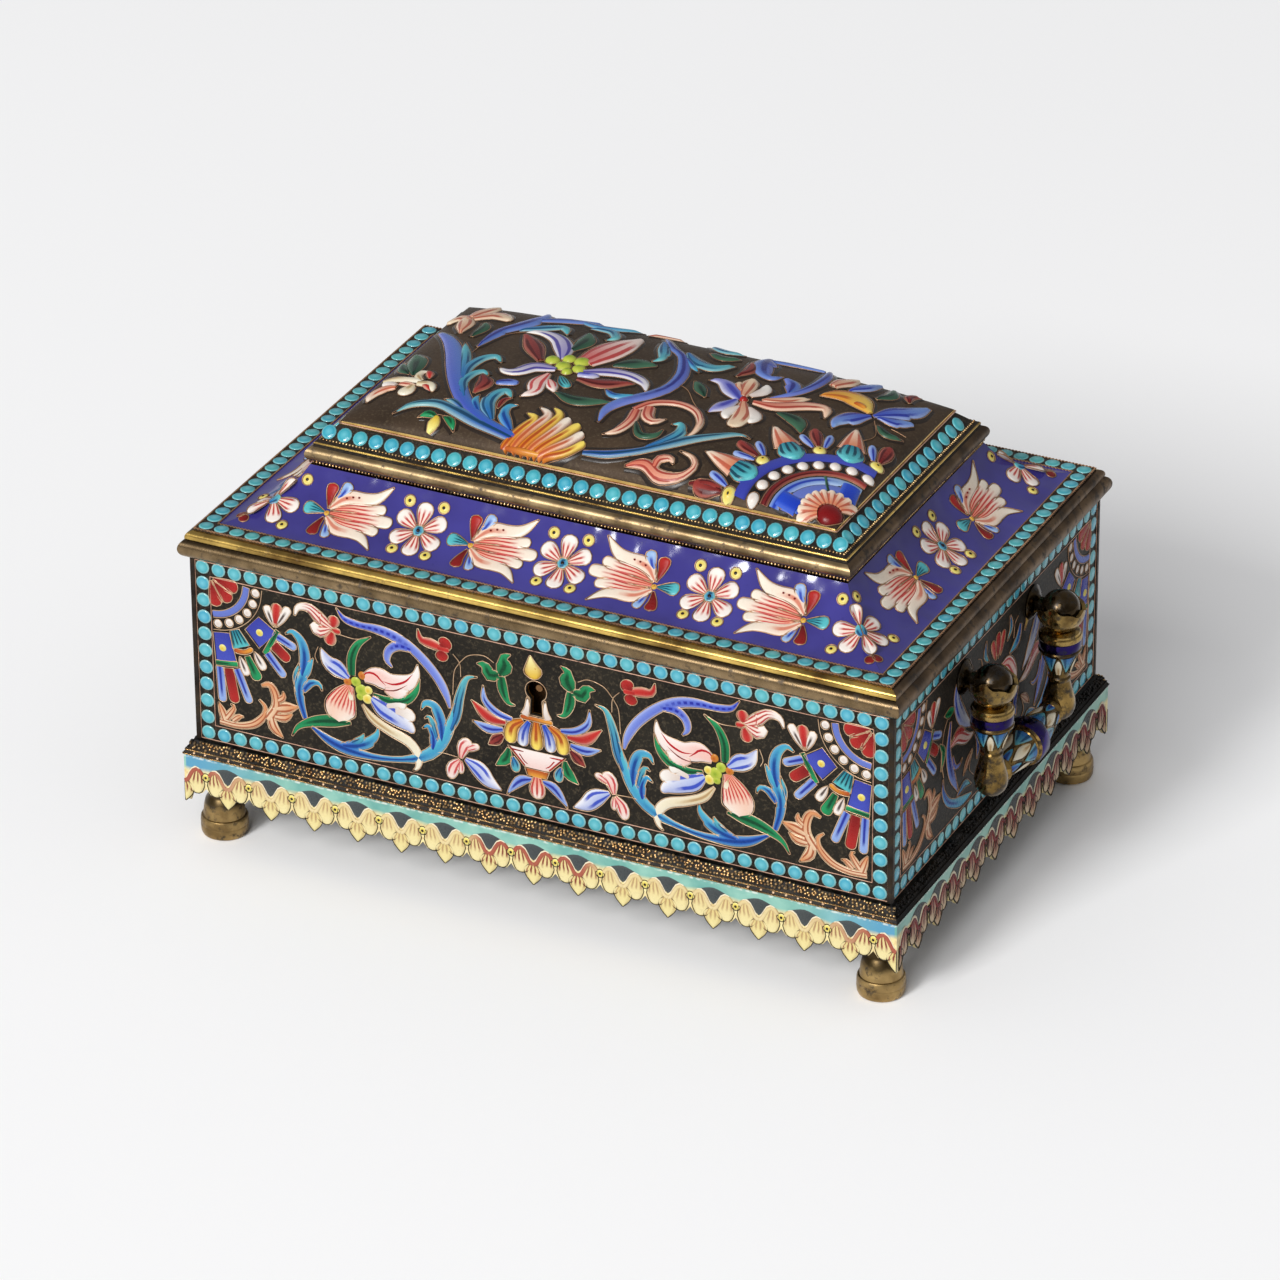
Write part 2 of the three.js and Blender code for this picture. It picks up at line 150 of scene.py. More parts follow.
class Finish(Graph):
    def __init__(self, name):
        self.material = bpy.data.materials.new(name)
        self.material.use_nodes = True
        super().__init__(self.material.node_tree)
        self.shader = self.tree.nodes["Principled BSDF"]

    def spot(self):
        return self.node("ShaderNodeTexCoord", {}, {}, "Object")

    def parts(self, vector):
        return [self.node("ShaderNodeSeparateXYZ", {}, {"Vector": vector}, axis) for axis in "XYZ"]

    def where(self):  # x, y and z in millimetres
        return [part / mm for part in self.parts(self.spot())]

    def noise(self, scale, detail=3.0, roughness=0.55):
        sockets = {"Vector": self.spot(), "Scale": scale, "Detail": detail, "Roughness": roughness}
        return self.node("ShaderNodeTexNoise", {}, sockets)

    def mix(self, share, first, second):
        return self.node("ShaderNodeMix", {"data_type": "RGBA"}, {0: share, 6: first, 7: second}, 2)

    def attribute(self, name, output="Fac"):
        return self.node("ShaderNodeAttribute", {"attribute_name": name}, {}, output)

    def bump(self, height, strength, distance):
        sockets = {"Height": height, "Strength": strength, "Distance": distance * mm}
        return self.node("ShaderNodeBump", {}, sockets)

    def done(self, sockets):
        self.feed(self.shader, sockets)
        return self.material


# Metals and enamel grounds
def agedMetal(name, tones, dirtShare, roughness, grain=0.25, patch=160, metal=1.0, top=0.0, drift=8.0):
    bright, dull, dirtAndShade = [tone(*one) for one in tones]
    made = Finish(name)
    cloud = made.noise(patch, 4)
    spots = made.noise(520, 5, 0.65)
    fine = made.noise(2400, 2)
    colour = made.mix(cloud.step(0.35, 0.65), dull, bright)
    soiled = spots.step(0.62 - dirtShare * 0.3, 0.72 - dirtShare * 0.2)
    if top:  # painted shade: the dirty tone darkens the colour above this height
        x, y, z = made.where()
        colour = made.mix((z + (cloud - 0.5) * drift).step(top, top + 2.0) * 0.85, colour, dirtAndShade)
    return made.done({
        "Base Color": made.mix(soiled * 0.85, colour, dirtAndShade),
        "Metallic": metal - soiled * (0.5 * metal),
        "Roughness": roughness + soiled * 0.22 + (fine - 0.5) * 0.12,
        "Normal": made.bump(fine * 0.6 + cloud, grain, 0.05),
    })


def stippledGround(name, dark, light, gilded=False):
    made = Finish(name)
    grain = made.noise(2300, 2)
    cloud = made.noise(70, 4)
    speck = made.noise(1500, 3, 0.7)
    colour = made.mix(cloud.step(0.3, 0.7), tone(*dark), tone(*light))
    colour = made.mix(speck.step(0.52, 0.72) * 0.3, colour, tone(116, 102, 80))
    metal, rough = 0.24, 0.52
    if gilded:  # the sheet's inner face
        deep = 0.6
        x, y, z = made.where()
        past = (x.size() - (halfX - deep)).maths("MAXIMUM", y.size() - (halfY - deep))
        outer = past > 0.0
        colour = made.mix(outer, tone(205, 170, 100), colour)
        metal, rough = 1.0 - outer * 0.8, outer * 0.2 + 0.32
    return made.done({
        "Base Color": colour,
        "Metallic": metal,
        "Roughness": (grain - 0.5) * 0.2 + rough,
        "Specular IOR Level": 0.15,
        "Normal": made.bump(grain + speck, 0.6, 0.06),
    })


def cobaltGround(name):
    made = Finish(name)
    cloud = made.noise(55, 3)
    speck = made.noise(700, 3, 0.7)
    wave = made.noise(130, 1)
    colour = made.mix(cloud.step(0.3, 0.7), tone(46, 40, 108), tone(60, 56, 134))
    colour = made.mix(speck.step(0.62, 0.8) * 0.4, colour, tone(28, 28, 84))
    return made.done({
        "Base Color": colour,
        "Roughness": 0.05 + speck * 0.08,
        "Specular IOR Level": 0.5,
        "Normal": made.bump(wave, 0.7, 0.8),
    })


def paintedEnamel(name, gloss, dim):  # cells carry their tint; fine lines are drawn along each cell
    made = Finish(name)
    tint = made.attribute("tint", "Color")
    line = made.attribute("line", "Color")
    count, far, dash = made.parts(made.attribute("lineRule", "Vector"))
    along, across, rest = made.parts(made.node("ShaderNodeUVMap", {"uv_map": "cell"}))
    wobble = made.noise(420, 2) - 0.5
    offset = (((across + wobble * 0.05) * count).maths("FRACT") - 0.5).size()
    thick = (count * 0.04 + 0.05).maths("MINIMUM", 0.17)
    stroke = 1.0 - ((offset - thick) / 0.1).clamp()
    stroke = stroke * (count > 0.5) * ((far - along) / 0.2 + wobble * 1.2).clamp()
    broken = (along * dash * (2 * math.pi)).maths("SINE").step(-0.5, 0.1)
    stroke = stroke * (1.0 - (dash > 0.5) * (1.0 - broken))
    fleck = made.noise(1500, 3, 0.7)
    x, y, z = made.where()
    redder = (1.0 - x.size().step(12, 17) + x.size().step(64, 80)).clamp()
    flush = redder * (dash < -1.5)  # apron bands turn red near the middle and the ends
    stroke = stroke * (1.0 - (dash < -0.5) * (1.0 - redder) * 0.5)
    colour = made.mix(flush * 0.85, tint, tone(140, 28, 32))
    colour = made.mix(stroke * 0.92, colour, line)
    # painted shade: dim darkens the whole finish evenly, for the front and back walls and more for the sides;
    # the flecks are dark specks
    colour = made.mix(fleck.step(0.55, 0.85) * (0.22 - dim) + dim, colour, tone(30, 22, 20))
    return made.done({
        "Base Color": colour,
        "Roughness": 0.2 + fleck * 0.16,
        "Specular IOR Level": gloss,
        "Normal": made.bump(made.noise(260, 2) + fleck * 0.3, 0.3, 0.12),
    })


def beadEnamel(name, blue, green, rimTone):
    made = Finish(name)
    rim = made.attribute("rim")
    fleck = made.noise(1300, 3, 0.7)
    colour = made.mix(made.attribute("shade"), tone(*blue), tone(*green))
    colour = made.mix((1.0 - rim).step(0.3, 0.9) * 0.3, colour, tone(140, 208, 216))
    colour = made.mix(rim.step(0.72, 0.94) * 0.75, colour, tone(*rimTone))
    colour = made.mix(fleck.step(0.6, 0.85) * 0.3, colour, tone(30, 90, 110))
    return made.done({
        "Base Color": colour,
        "Roughness": 0.06 + fleck * 0.1,
        "Specular IOR Level": 0.5,
        "Normal": made.bump(fleck, 0.3, 0.06),
    })


def apronGround(name):
    made = Finish(name)
    x, y, z = made.where()
    cloud = made.noise(110, 4)
    fleck = made.noise(900, 3, 0.7)
    green = made.mix(cloud.step(0.35, 0.65), tone(92, 150, 140), tone(136, 182, 166))
    green = made.mix(x.size().step(62, 82) * (x.size() < 85.2), green, tone(74, 138, 168))  # bluer ends
    pale = made.mix(fleck.step(0.4, 0.8), tone(222, 208, 150), tone(186, 150, 100))
    colour = made.mix((z + (cloud - 0.5) * 2.0).step(17.4, 18.6), pale, green)
    colour = made.mix(z.step(20.5, 20.8) * fleck.step(0.45, 0.6) * 0.7, colour, tone(214, 216, 206))
    return made.done({
        "Base Color": colour,
        "Roughness": 0.3 + fleck * 0.2,
        "Coat Weight": 0.15,
        "Normal": made.bump(fleck, 0.25, 0.06),
    })


def floorFinish(name):
    made = Finish(name)
    colour = made.mix(made.noise(3, 2), tone(248, 248, 248), tone(251, 251, 251))
    return made.done({"Base Color": colour, "Roughness": 0.9, "Specular IOR Level": 0.1})


metals = {  # name, bright, dull and dirty tones (the dirty tone also paints shade where a height is given), share of dirt, roughness
    "antique": ("antique_gilt", ((172, 148, 110), (120, 100, 72), (46, 36, 27)), 0.26, 0.32),
    "bright": ("bright_gilt", ((238, 200, 110), (112, 86, 46), (40, 30, 18)), 0.14, 0.2, 0.12, 64),
    # painted reflection: the flange darkens above 72 mm, standing in for the dark surroundings its upper half
    # would mirror
    "flange": ("flange_gilt", ((158, 134, 100), (106, 88, 63), (44, 34, 22)), 0.2, 0.26, 0.25, 160, 1.0,
               72.0, 1.6),
    # painted shade: a darker copy of the gilt for the short sides
    "shaded": ("shaded_gilt", ((108, 88, 66), (70, 56, 42), (34, 27, 20)), 0.35, 0.4),
    "dark": ("dark_metal", ((70, 60, 48), (40, 34, 30), (20, 17, 16)), 0.5, 0.45),
    "plinth": ("plinth_metal", ((40, 35, 30), (22, 20, 18), (13, 12, 11)), 0.5, 0.4),
    "frameWire": ("frame_wire", ((206, 164, 140), (160, 120, 98), (90, 62, 48)), 0.25, 0.36, 0.25, 160, 0.4),
    "wire": ("cell_wire", ((212, 180, 144), (170, 134, 102), (110, 78, 56)), 0.15, 0.3, 0.25, 160, 0.35),
    "copper": ("copper_wire", ((184, 142, 106), (130, 96, 70), (64, 44, 32)), 0.25, 0.36, 0.25, 160, 0.5),
    "grain": ("gold_grains", ((244, 206, 146), (150, 112, 70), (18, 15, 13)), 0.5, 0.22, 0.1, 300),
    # painted shadow: the feet darken above 6.6 mm, under the apron
    "foot": ("foot_gilt", ((190, 160, 106), (128, 104, 66), (30, 24, 18)), 0.3, 0.34, 0.25, 160, 1.0, 6.6),
    "brass": ("handle_brass", ((150, 122, 70), (64, 49, 28), (20, 15, 11)), 0.5, 0.13),
    "cup": ("handle_cup", ((172, 144, 86), (96, 76, 44), (30, 23, 15)), 0.4, 0.17),
    "ball": ("handle_ball", ((84, 68, 46), (36, 29, 20), (16, 13, 10)), 0.5, 0.12),
    "collar": ("collar_enamel", ((46, 34, 98), (28, 20, 60), (14, 10, 28)), 0.3, 0.14),
    "lining": ("gilt_lining", ((222, 188, 116), (190, 154, 88), (120, 92, 52)), 0.1, 0.3),
    "steel": ("lock_steel", ((150, 112, 76), (96, 68, 44), (44, 30, 20)), 0.3, 0.5),
}
finishes = {name: agedMetal(*row) for name, row in metals.items()}
finishes.update({
    "wall": stippledGround("wall_ground", (22, 19, 15), (37, 33, 26), True),
    # painted shade: a darker copy of the wall ground for the side walls
    "shadedSideWall": stippledGround("side_wall_ground", (20, 17, 14), (34, 30, 25), True),
    "lid": stippledGround("lid_ground", (52, 41, 31), (74, 59, 45)),
    "bandGround": stippledGround("bead_ground", (28, 25, 23), (50, 43, 36)),
    "cobalt": cobaltGround("cobalt_enamel"),
    "painted": paintedEnamel("painted_enamel", 0.24, 0.0),
    # painted shade: copies of the painted enamel darkened for the front and back walls, and more for the
    # sides
    "shadedWallEnamel": paintedEnamel("painted_wall_enamel", 0.16, 0.1),
    "shadedSideEnamel": paintedEnamel("painted_side_enamel", 0.08, 0.2),
    "bead": beadEnamel("turquoise_bead", (48, 140, 166), (63, 150, 158), (152, 194, 188)),
    "coveBead": beadEnamel("sea_green_bead", (44, 136, 158), (62, 150, 148), (130, 190, 190)),
    "cabochon": beadEnamel("cabochon", (36, 138, 164), (56, 154, 161), (112, 182, 188)),
    "apron": apronGround("apron_ground"),
    "floor": floorFinish("studio_floor"),
})
print("finishes:", len(finishes))


# Meshes
def linked(name, data):
    made = bpy.data.objects.new(name, data)
    bpy.context.scene.collection.objects.link(made)
    return made


def meshObject(name, points, faces, finishNames, zones=None, sharp=38):
    mesh = bpy.data.meshes.new(name)
    mesh.from_pydata((np.asarray(points) * mm).tolist(), [], faces)
    for finish in finishNames:
        mesh.materials.append(finishes[finish])
    if zones is not None:
        mesh.polygons.foreach_set("material_index", [int(zone) for zone in zones])
    mesh.shade_smooth()
    mesh.set_sharp_from_angle(angle=math.radians(sharp))
    mesh.update()
    return linked(name, mesh)


def settle(piece, body, slotName, *replaced):
    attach(piece, body)
    if replaced:
        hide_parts(*replaced)
    return piece


def skinFaces(rings, count, looped=False):  # a closed tube over rings of points, its ends capped
    faces = []
    for k in range(rings if looped else rings - 1):
        a, b = k * count, (k + 1) % rings * count
        faces += [[a + i, b + i, b + (i + 1) % count, a + (i + 1) % count] for i in range(count)]
    if not looped:
        last = (rings - 1) * count
        faces += [list(range(count)), [last + i for i in range(count)][::-1]]
    return faces


def flipped(faces):
    return [face[::-1] for face in faces]


def curveThrough(knots, steps=14):  # smooth line through given points
    knots = np.array(knots, float)
    knots = np.vstack([2 * knots[0] - knots[1], knots, 2 * knots[-1] - knots[-2]])
    t = np.linspace(0, 1, steps, endpoint=False)[:, None]
    spans = []
    for a, b, c, d in zip(knots, knots[1:], knots[2:], knots[3:]):
        spans.append(0.5 * (2 * b + (c - a) * t + (2 * a - 5 * b + 4 * c - d) * t ** 2
                            + (3 * b - a - 3 * c + d) * t ** 3))
    return np.vstack(spans + [knots[-2][None]])


def arcPoints(x, y, radius, start, stop, count=7):
    turn = np.radians(np.linspace(start, stop, count))
    return [(x + radius * math.cos(a), y + radius * math.sin(a)) for a in turn]


def ray(x, y, angle, radii):  # points outwards from a centre
    turn = math.radians(angle)
    return [(x + r * math.cos(turn), y + r * math.sin(turn)) for r in radii]


def halfWidths(width, ends, t, length):  # ends: p pointed, r round, f flat
    if isinstance(width, list):
        line = curveThrough(list(zip(np.linspace(0, 1, len(width)), width)))
        half = np.interp(t, line[:, 0], line[:, 1])
    else:
        half = np.full(len(t), float(width))
    for end, share in zip(ends, (t, 1 - t)):
        if end == "p" and not isinstance(width, list):
            half = half * np.sin(np.pi / 2 * np.clip(share / 0.62, 0, 1)) ** 0.8
        if end == "r":
            near = np.clip(share * length / np.maximum(half, 0.05), 0, 1)
            half = half * np.sqrt(1 - (1 - near) ** 2)
    return np.maximum(half, 0.03)


def widened(width, extra):
    if isinstance(width, (list, tuple)):
        return type(width)(widened(one, extra) for one in width)
    return width + extra


def toothed(t, count):  # a leaf's edge cut into lobes that point to its tip
    return 0.6 + 0.4 * np.sqrt((t * count * 0.999) % 1.0) if count else 1.0


def flip(sign):  # minus one draws a mirrored copy
    return lambda u, v: (u * sign, v)


def paint(root, tip=None, edge=None, rim=0.0, line=None, count=0, far=0.8, dash=0, shade=None, deep=0.0):
    tip = tip or root
    depth = (0.75, 0.75, 0.75, 1)
    tones = [np.array(tone(*one)) * depth for one in (root, tip, edge or tip, line or root, shade or root)]
    return {"tones": tones, "rim": rim, "rule": (count, far, dash), "deep": deep}


paints = {
    "red": paint((132, 20, 20), (180, 40, 36), (196, 70, 60), 0.4),
    "stroke": paint((190, 30, 38)),
    "darkRed": paint((104, 18, 20), (140, 28, 26), (160, 50, 44), 0.4),
    "redBrown": paint((112, 26, 28), (150, 54, 48), (198, 128, 108), 0.7, (78, 12, 16), 2, 0.85),
    "redEdge": paint((176, 26, 26), (200, 42, 38), (240, 196, 170), 0.9),
    "tongue": paint((98, 128, 212), (146, 174, 230), (198, 212, 242), 0.7, (24, 34, 150), 1, 0.86),
    "lavender": paint((66, 92, 208), (140, 160, 230), (206, 214, 242), 0.8, (28, 36, 156), 1, 0.6, 2,
                      (40, 60, 190), 0.7),
    "arc": paint((104, 122, 202), (104, 122, 202), (140, 156, 218), 0.4),
    "violet": paint((52, 60, 172), (108, 124, 212), (160, 174, 228), 0.6, (26, 28, 122), 1, 0.8, 0,
                    (74, 150, 200), 0.4),
    "band": paint((26, 70, 186), (58, 164, 206), (150, 210, 228), 0.7, (18, 44, 140), 1, 0.8),
    "sky": paint((22, 74, 186), (84, 190, 206), (158, 220, 226), 0.7, (16, 60, 140), 1, 0.7, 0,
                 (30, 110, 190), 0.6),
    "turquoise": paint((30, 98, 182), (100, 196, 198), (176, 224, 216), 0.75, (12, 70, 110), 2, 0.75, 0,
                       (28, 118, 156), 0.65),
    "teal": paint((32, 128, 146), (88, 190, 194), (40, 140, 156), 0.4, (6, 50, 66), 4, 0.92),
    "green": paint((10, 108, 60), (34, 160, 98), (62, 168, 110), 0.5, (2, 66, 38), 1, 0.75, 0, (4, 84, 50),
                   0.5),
    "deepGreen": paint((28, 66, 50), (58, 104, 78), (96, 130, 104), 0.5, (8, 40, 30), 1, 0.7),
    "white": paint((226, 210, 200), (252, 246, 238)),
    "slit": paint((232, 216, 204), (252, 244, 236), line=(60, 40, 34), count=1),
    "cream": paint((226, 206, 160), (248, 240, 216), (252, 248, 236), 0.6, (186, 150, 104), 1, 0.5),
    "rayed": paint((244, 170, 146), (252, 240, 226), (252, 246, 234), 0.6, (200, 46, 42), 8, 0.72, 0,
                   (236, 150, 96), 0.6),
    "pinkCurl": paint((242, 184, 172), (250, 228, 218), (252, 250, 246), 0.95, (200, 44, 52), 2, 0.88),
    "blueWhite": paint((206, 216, 242), (250, 248, 248), (252, 250, 248), 0.5, (34, 66, 190), 2, 0.7, 0,
                       (84, 122, 214), 0.85),
    "pinkPetal": paint((246, 196, 184), (252, 244, 238), (252, 250, 246), 0.8),
    "purpleWhite": paint((170, 160, 208), (250, 246, 238), (252, 248, 240), 0.9, (60, 46, 150), 2, 0.9, 0,
                         (120, 112, 192), 0.6),
    "coral": paint((248, 222, 186), (228, 156, 100), (248, 226, 192), 0.8, (170, 84, 46), 2, 0.9, 0,
                   (198, 112, 64), 0.7),
    "salmon": paint((214, 104, 82), (246, 214, 184), (250, 232, 208), 0.8, (166, 52, 42), 2, 0.9, 0,
                    (232, 156, 124), 0.5),
    "peach": paint((228, 142, 102), (250, 230, 206), (250, 238, 218), 0.5, (196, 92, 66), 2, 0.85),
    "petal": paint((248, 214, 196), (252, 244, 236), (252, 246, 238), 0.5, (190, 36, 32), 3, 0.72),
    "tulip": paint((246, 214, 190), (248, 238, 220), (252, 246, 232), 0.5, (216, 126, 100), 1, 0.5),
    "flare": paint((236, 140, 112), (250, 238, 220), (252, 244, 228), 0.6, (196, 28, 26), 3, 0.82),
    "drop": paint((84, 120, 208), (156, 190, 232), (206, 222, 242), 0.7, (26, 52, 170), 1, 0.8),
    "shell": paint((34, 134, 154), (92, 194, 200), (140, 216, 216), 0.5, (6, 52, 74), 4, 0.75),
    "cobalt": paint((58, 66, 166), (70, 82, 186), (50, 56, 148), 0.3),
    "block": paint((26, 60, 186), (34, 72, 198), (90, 130, 220), 0.6),
    "yellow": paint((228, 190, 50), (246, 236, 140), (250, 244, 170), 0.3),
    "flame": paint((232, 190, 60), (250, 240, 170), (150, 90, 30), 0.8),
    "gold": paint((222, 156, 42), (246, 214, 96), (204, 128, 48), 0.5, (186, 98, 38), 2, 0.6, 0,
                  (226, 138, 58), 0.5),
    "orange": paint((186, 84, 30), (232, 160, 60), (160, 66, 26), 0.6),
    "rib": paint((220, 126, 32), (252, 226, 104), (118, 48, 14), 0.95, (170, 66, 20), 1, 0.8),
    "paleRib": paint((226, 132, 52), (252, 240, 222), (132, 50, 26), 0.95, (186, 84, 48), 1, 0.8),
    "blueRib": paint((40, 90, 200), (236, 240, 246), (40, 84, 190), 0.9, (30, 60, 170), 1, 0.9),
    "leafGreen": paint((140, 168, 40), (222, 228, 92), (118, 146, 40), 0.5),
    "bowl": paint((252, 240, 234), (246, 214, 206), (250, 236, 230), 0.5),
    "pleat": paint((236, 156, 132), (252, 236, 224), (222, 130, 110), 0.4, (190, 48, 40), 3, 0.95),
    "pinkTall": paint((206, 66, 66), (248, 232, 222), (252, 240, 230), 0.8, (186, 48, 48), 3, 0.85, 0,
                      (240, 198, 186), 0.5),
    "dark": paint((24, 18, 16), (38, 28, 24)),
    "garnet": paint((122, 10, 14), (140, 18, 20), (78, 8, 10), 0.6),
    "creamDrop": paint((226, 204, 136), (240, 226, 162), (206, 178, 110), 0.5, (128, 30, 34), 4, 0.6, -1),
    "creamArch": paint((228, 206, 142), (240, 226, 168), (206, 176, 112), 0.5, (128, 30, 34), 4, 0.62, -1),
    "pinkArch": paint((158, 44, 38), (240, 214, 176), (252, 236, 206), 0.9, (88, 18, 18), 3, 0.8),
    "pinkDrop": paint((170, 60, 48), (236, 206, 164), (252, 236, 206), 0.9, (88, 18, 18), 3, 0.7),
    "stem": paint((48, 70, 180), (104, 116, 202), (146, 158, 218), 0.4, shade=(70, 140, 200), deep=0.6),
    "plume": paint((20, 62, 176), (104, 176, 180), (190, 216, 206), 0.85, (14, 60, 90), 1, 0.95, 0,
                   (30, 110, 150), 0.6),
    "pinkCream": paint((226, 156, 122), (244, 222, 188), (250, 236, 210), 0.7, (180, 84, 62), 2, 0.85, 0,
                       (222, 172, 140), 0.5),
    "blueLeaf": paint((54, 78, 190), (128, 164, 220), (196, 212, 236), 0.7, (36, 48, 150), 2, 0.7, 0,
                      (66, 88, 190), 0.6),
    "bluePale": paint((84, 96, 196), (150, 150, 216), (250, 246, 244), 0.95, (60, 60, 170), 1, 0.7),
    "creamBand": paint((228, 206, 150), (234, 214, 160), (176, 134, 86), 0.6, dash=-2),
    "pinkBand": paint((112, 20, 26), (132, 28, 32), (150, 44, 44), 0.5),
    "paleEdge": paint((246, 232, 200), (246, 232, 200)),
    "shadowAndGrimeHem": paint((42, 32, 25)),
    "shadow": paint((74, 80, 80), (62, 66, 68), (92, 102, 100), 0.5),
}
leafGrid = {"columns": np.array([-1, -0.86, -0.45, 0, 0.45, 0.86, 1]), "wireGap": 0.05,
            "plain": (0.6, 8, 30), "lobed": (0.35, 20, 48)}  # row length, fewest and most rows
dotRings = np.array([0.45, 0.8, 1.0])


class Cells:  # enamel cells, and the wires that fence them, on a skin
    def __init__(self, skin, finish, look):
        self.skin = skin
        self.finish = finish
        self.relief = look["relief"]
        self.wireLift = look["wireLift"]
        self.shadowAndGrimeHem = look.get("shadowAndGrimeHem", 0.0)
        self.move = flip(1)
        self.total = 0
        self.stock = {"points": [], "uv": [], "tint": [], "line": [], "rule": []}
        self.faces = []
        self.wires = []

    def lay(self, u, v, lift):
        return self.skin(*self.move(u, v), lift)

    def add(self, points, faces, turn, middle, uv, tints, coat, length=1.0):
        outward = self.lay(*middle, 1.0) - self.lay(*middle, 0.0)
        if np.dot(turn, outward) < 0:
            faces = flipped(faces)
        rows = len(points)
        count, far, dash = coat["rule"]
        rule = (count, far, dash * length / 3 if dash > 0 else dash)
        self.faces += [[self.total + i for i in face] for face in faces]
        self.total += rows
        sheets = (points, uv, tints, np.tile(coat["tones"][3], (rows, 1)), np.tile(rule, (rows, 1)))
        for key, sheet in zip(self.stock, sheets):
            self.stock[key].append(sheet)

    def tints(self, coat, t, across):
        root, tip, edge, line, shade = coat["tones"]
        share = (t * t * (3 - 2 * t))[..., None]
        dim = (coat["deep"] * ((1 - across) / 2) ** 1.4)[..., None]
        rim = (coat["rim"] * np.abs(across) ** 3.5)[..., None]
        body = (root * (1 - share) + tip * share) * (1 - dim) + shade * dim
        return body * (1 - rim) + edge * rim

    def fence(self, points, closed=True):
        self.wires.append((self.lay(points[:, 0], points[:, 1], self.wireLift), closed))

    def leaf(self, paintName, path, width, ends="pp", wire=True, lift=1.0, sink=0.1, lobes=(0, 0)):
        if self.shadowAndGrimeHem and wire:  # painted shadow and grime: a dark hem round each cell stands in for the shade and dirt at its foot
            self.leaf("shadowAndGrimeHem", path, widened(width, self.shadowAndGrimeHem), ends, False, 0.3, 0.03)
        coat = paints[paintName]
        line = curveThrough(path)
        runs = np.concatenate([[0], np.cumsum(np.linalg.norm(np.diff(line, axis=0), axis=1))])
        gap, fewest, most = leafGrid["lobed" if any(lobes) else "plain"]
        rows = int(np.clip(runs[-1] / gap, fewest, most))
        s = np.linspace(0, 1, rows + 1)
        t = s - 0.1 * np.sin(2 * np.pi * s)  # rows crowd towards the ends
        centre = np.stack([np.interp(t * runs[-1], runs, line[:, k]) for k in (0, 1)], -1)
        heading = np.gradient(centre, t, axis=0)
        heading /= np.linalg.norm(heading, axis=1)[:, None]
        normal = np.stack([-heading[:, 1], heading[:, 0]], -1)
        pair = width if isinstance(width, tuple) else (width, width)
        right, left = [halfWidths(one, ends, t, runs[-1]) * toothed(t, count)
                       for one, count in zip(pair, lobes)]
        columns = leafGrid["columns"]
        half = np.where(columns[None] < 0, right[:, None], left[:, None])
        grid = centre[:, None] + normal[:, None] * (half * columns[None])[..., None]
        rise = (1 - columns ** 4) ** 0.5 * np.clip(np.maximum(left, right) / 0.7, 0.1, 1)[:, None]
        height = self.relief * lift * rise - sink
        points = self.lay(grid[..., 0], grid[..., 1], height)
        mid = rows // 2
        turn = np.cross(points[mid + 1, 3] - points[mid, 3], points[mid, 5] - points[mid, 1])
        spread = np.broadcast_to(columns[None], height.shape)
        run = np.broadcast_to(t[:, None], height.shape)
        uv = np.stack([run, (spread + 1) / 2], -1).reshape(-1, 2)
        tints = self.tints(coat, run, spread).reshape(-1, 4)
        faces = skinFaces(rows + 1, len(columns))
        self.add(points.reshape(-1, 3), faces, turn, grid[0, 3], uv, tints, coat, runs[-1])
        if wire:
            right, left = [(one + leafGrid["wireGap"])[:, None] for one in (right, left)]
            self.fence(np.vstack([centre + normal * left, (centre - normal * right)[::-1]]))

    def dot(self, paintName, u, v, radius, wire=True, lift=1.0, sink=0.1, steps=14):
        coat = paints[paintName]
        turn = np.arange(steps) * 2 * np.pi / steps
        share = np.concatenate([[0], np.repeat(dotRings, steps)])
        angle = np.concatenate([[0], np.tile(turn, len(dotRings))])
        height = self.relief * lift * np.sqrt(1 - share ** 2) - sink
        points = self.lay(u + radius * share * np.cos(angle), v + radius * share * np.sin(angle), height)
        rings = skinFaces(len(dotRings), steps)
        faces = [[0, 1 + i, 1 + (i + 1) % steps] for i in range(steps)]
        faces += [[1 + i for i in face] for face in rings[:-2] + rings[-1:]]
        cross = np.cross(points[1] - points[0], points[1 + steps // 4] - points[0])
        uv = np.stack([share, angle / (2 * np.pi)], -1)
        self.add(points, faces, cross, (u, v), uv, self.tints(coat, share, share), coat)
        if wire:
            ring = np.stack([np.cos(turn), np.sin(turn)], -1) * (radius + leafGrid["wireGap"])
            self.fence(ring + (u, v))

    def ring(self, u, v, radius):  # yellow eye with a dark pupil
        self.dot("yellow", u, v, radius, lift=1.2)
        self.dot("dark", u, v, radius * 0.36, False, 1.0, -0.12, 8)

    def lines(self, table):
        for path in table:
            self.fence(curveThrough(path), False)

    def rows(self, table):
        for row in table:
            self.leaf(*row)

    def fronds(self, table):
        for name, line, width, *lobes in table:
            self.leaf(name, line, width, lobes=lobes or (0, 0))

    def paths(self, shift=0.0):
        return [(line + shift, closed, upward) for line, closed in self.wires]

    def mesh(self, name):
        sheets = {key: np.vstack(rows) for key, rows in self.stock.items()}
        made = meshObject(name, sheets["points"], self.faces, [self.finish], None, 50)
        layers = (("tint", "FLOAT_COLOR", "color", "tint"), ("line", "FLOAT_COLOR", "color", "line"),
                  ("lineRule", "FLOAT_VECTOR", "vector", "rule"))
        for label, kind, field, key in layers:
            layer = made.data.attributes.new(label, kind, "POINT")
            layer.data.foreach_set(field, sheets[key].astype(np.float32).ravel())
        corners = np.zeros(len(made.data.loops), np.int32)
        made.data.loops.foreach_get("vertex_index", corners)
        uv = sheets["uv"].astype(np.float32)[corners]
        made.data.uv_layers.new(name="cell").data.foreach_set("uv", uv.ravel())
        return made

    def enamel(self, name, body, slotName):
        return settle(self.mesh(name), body, slotName)


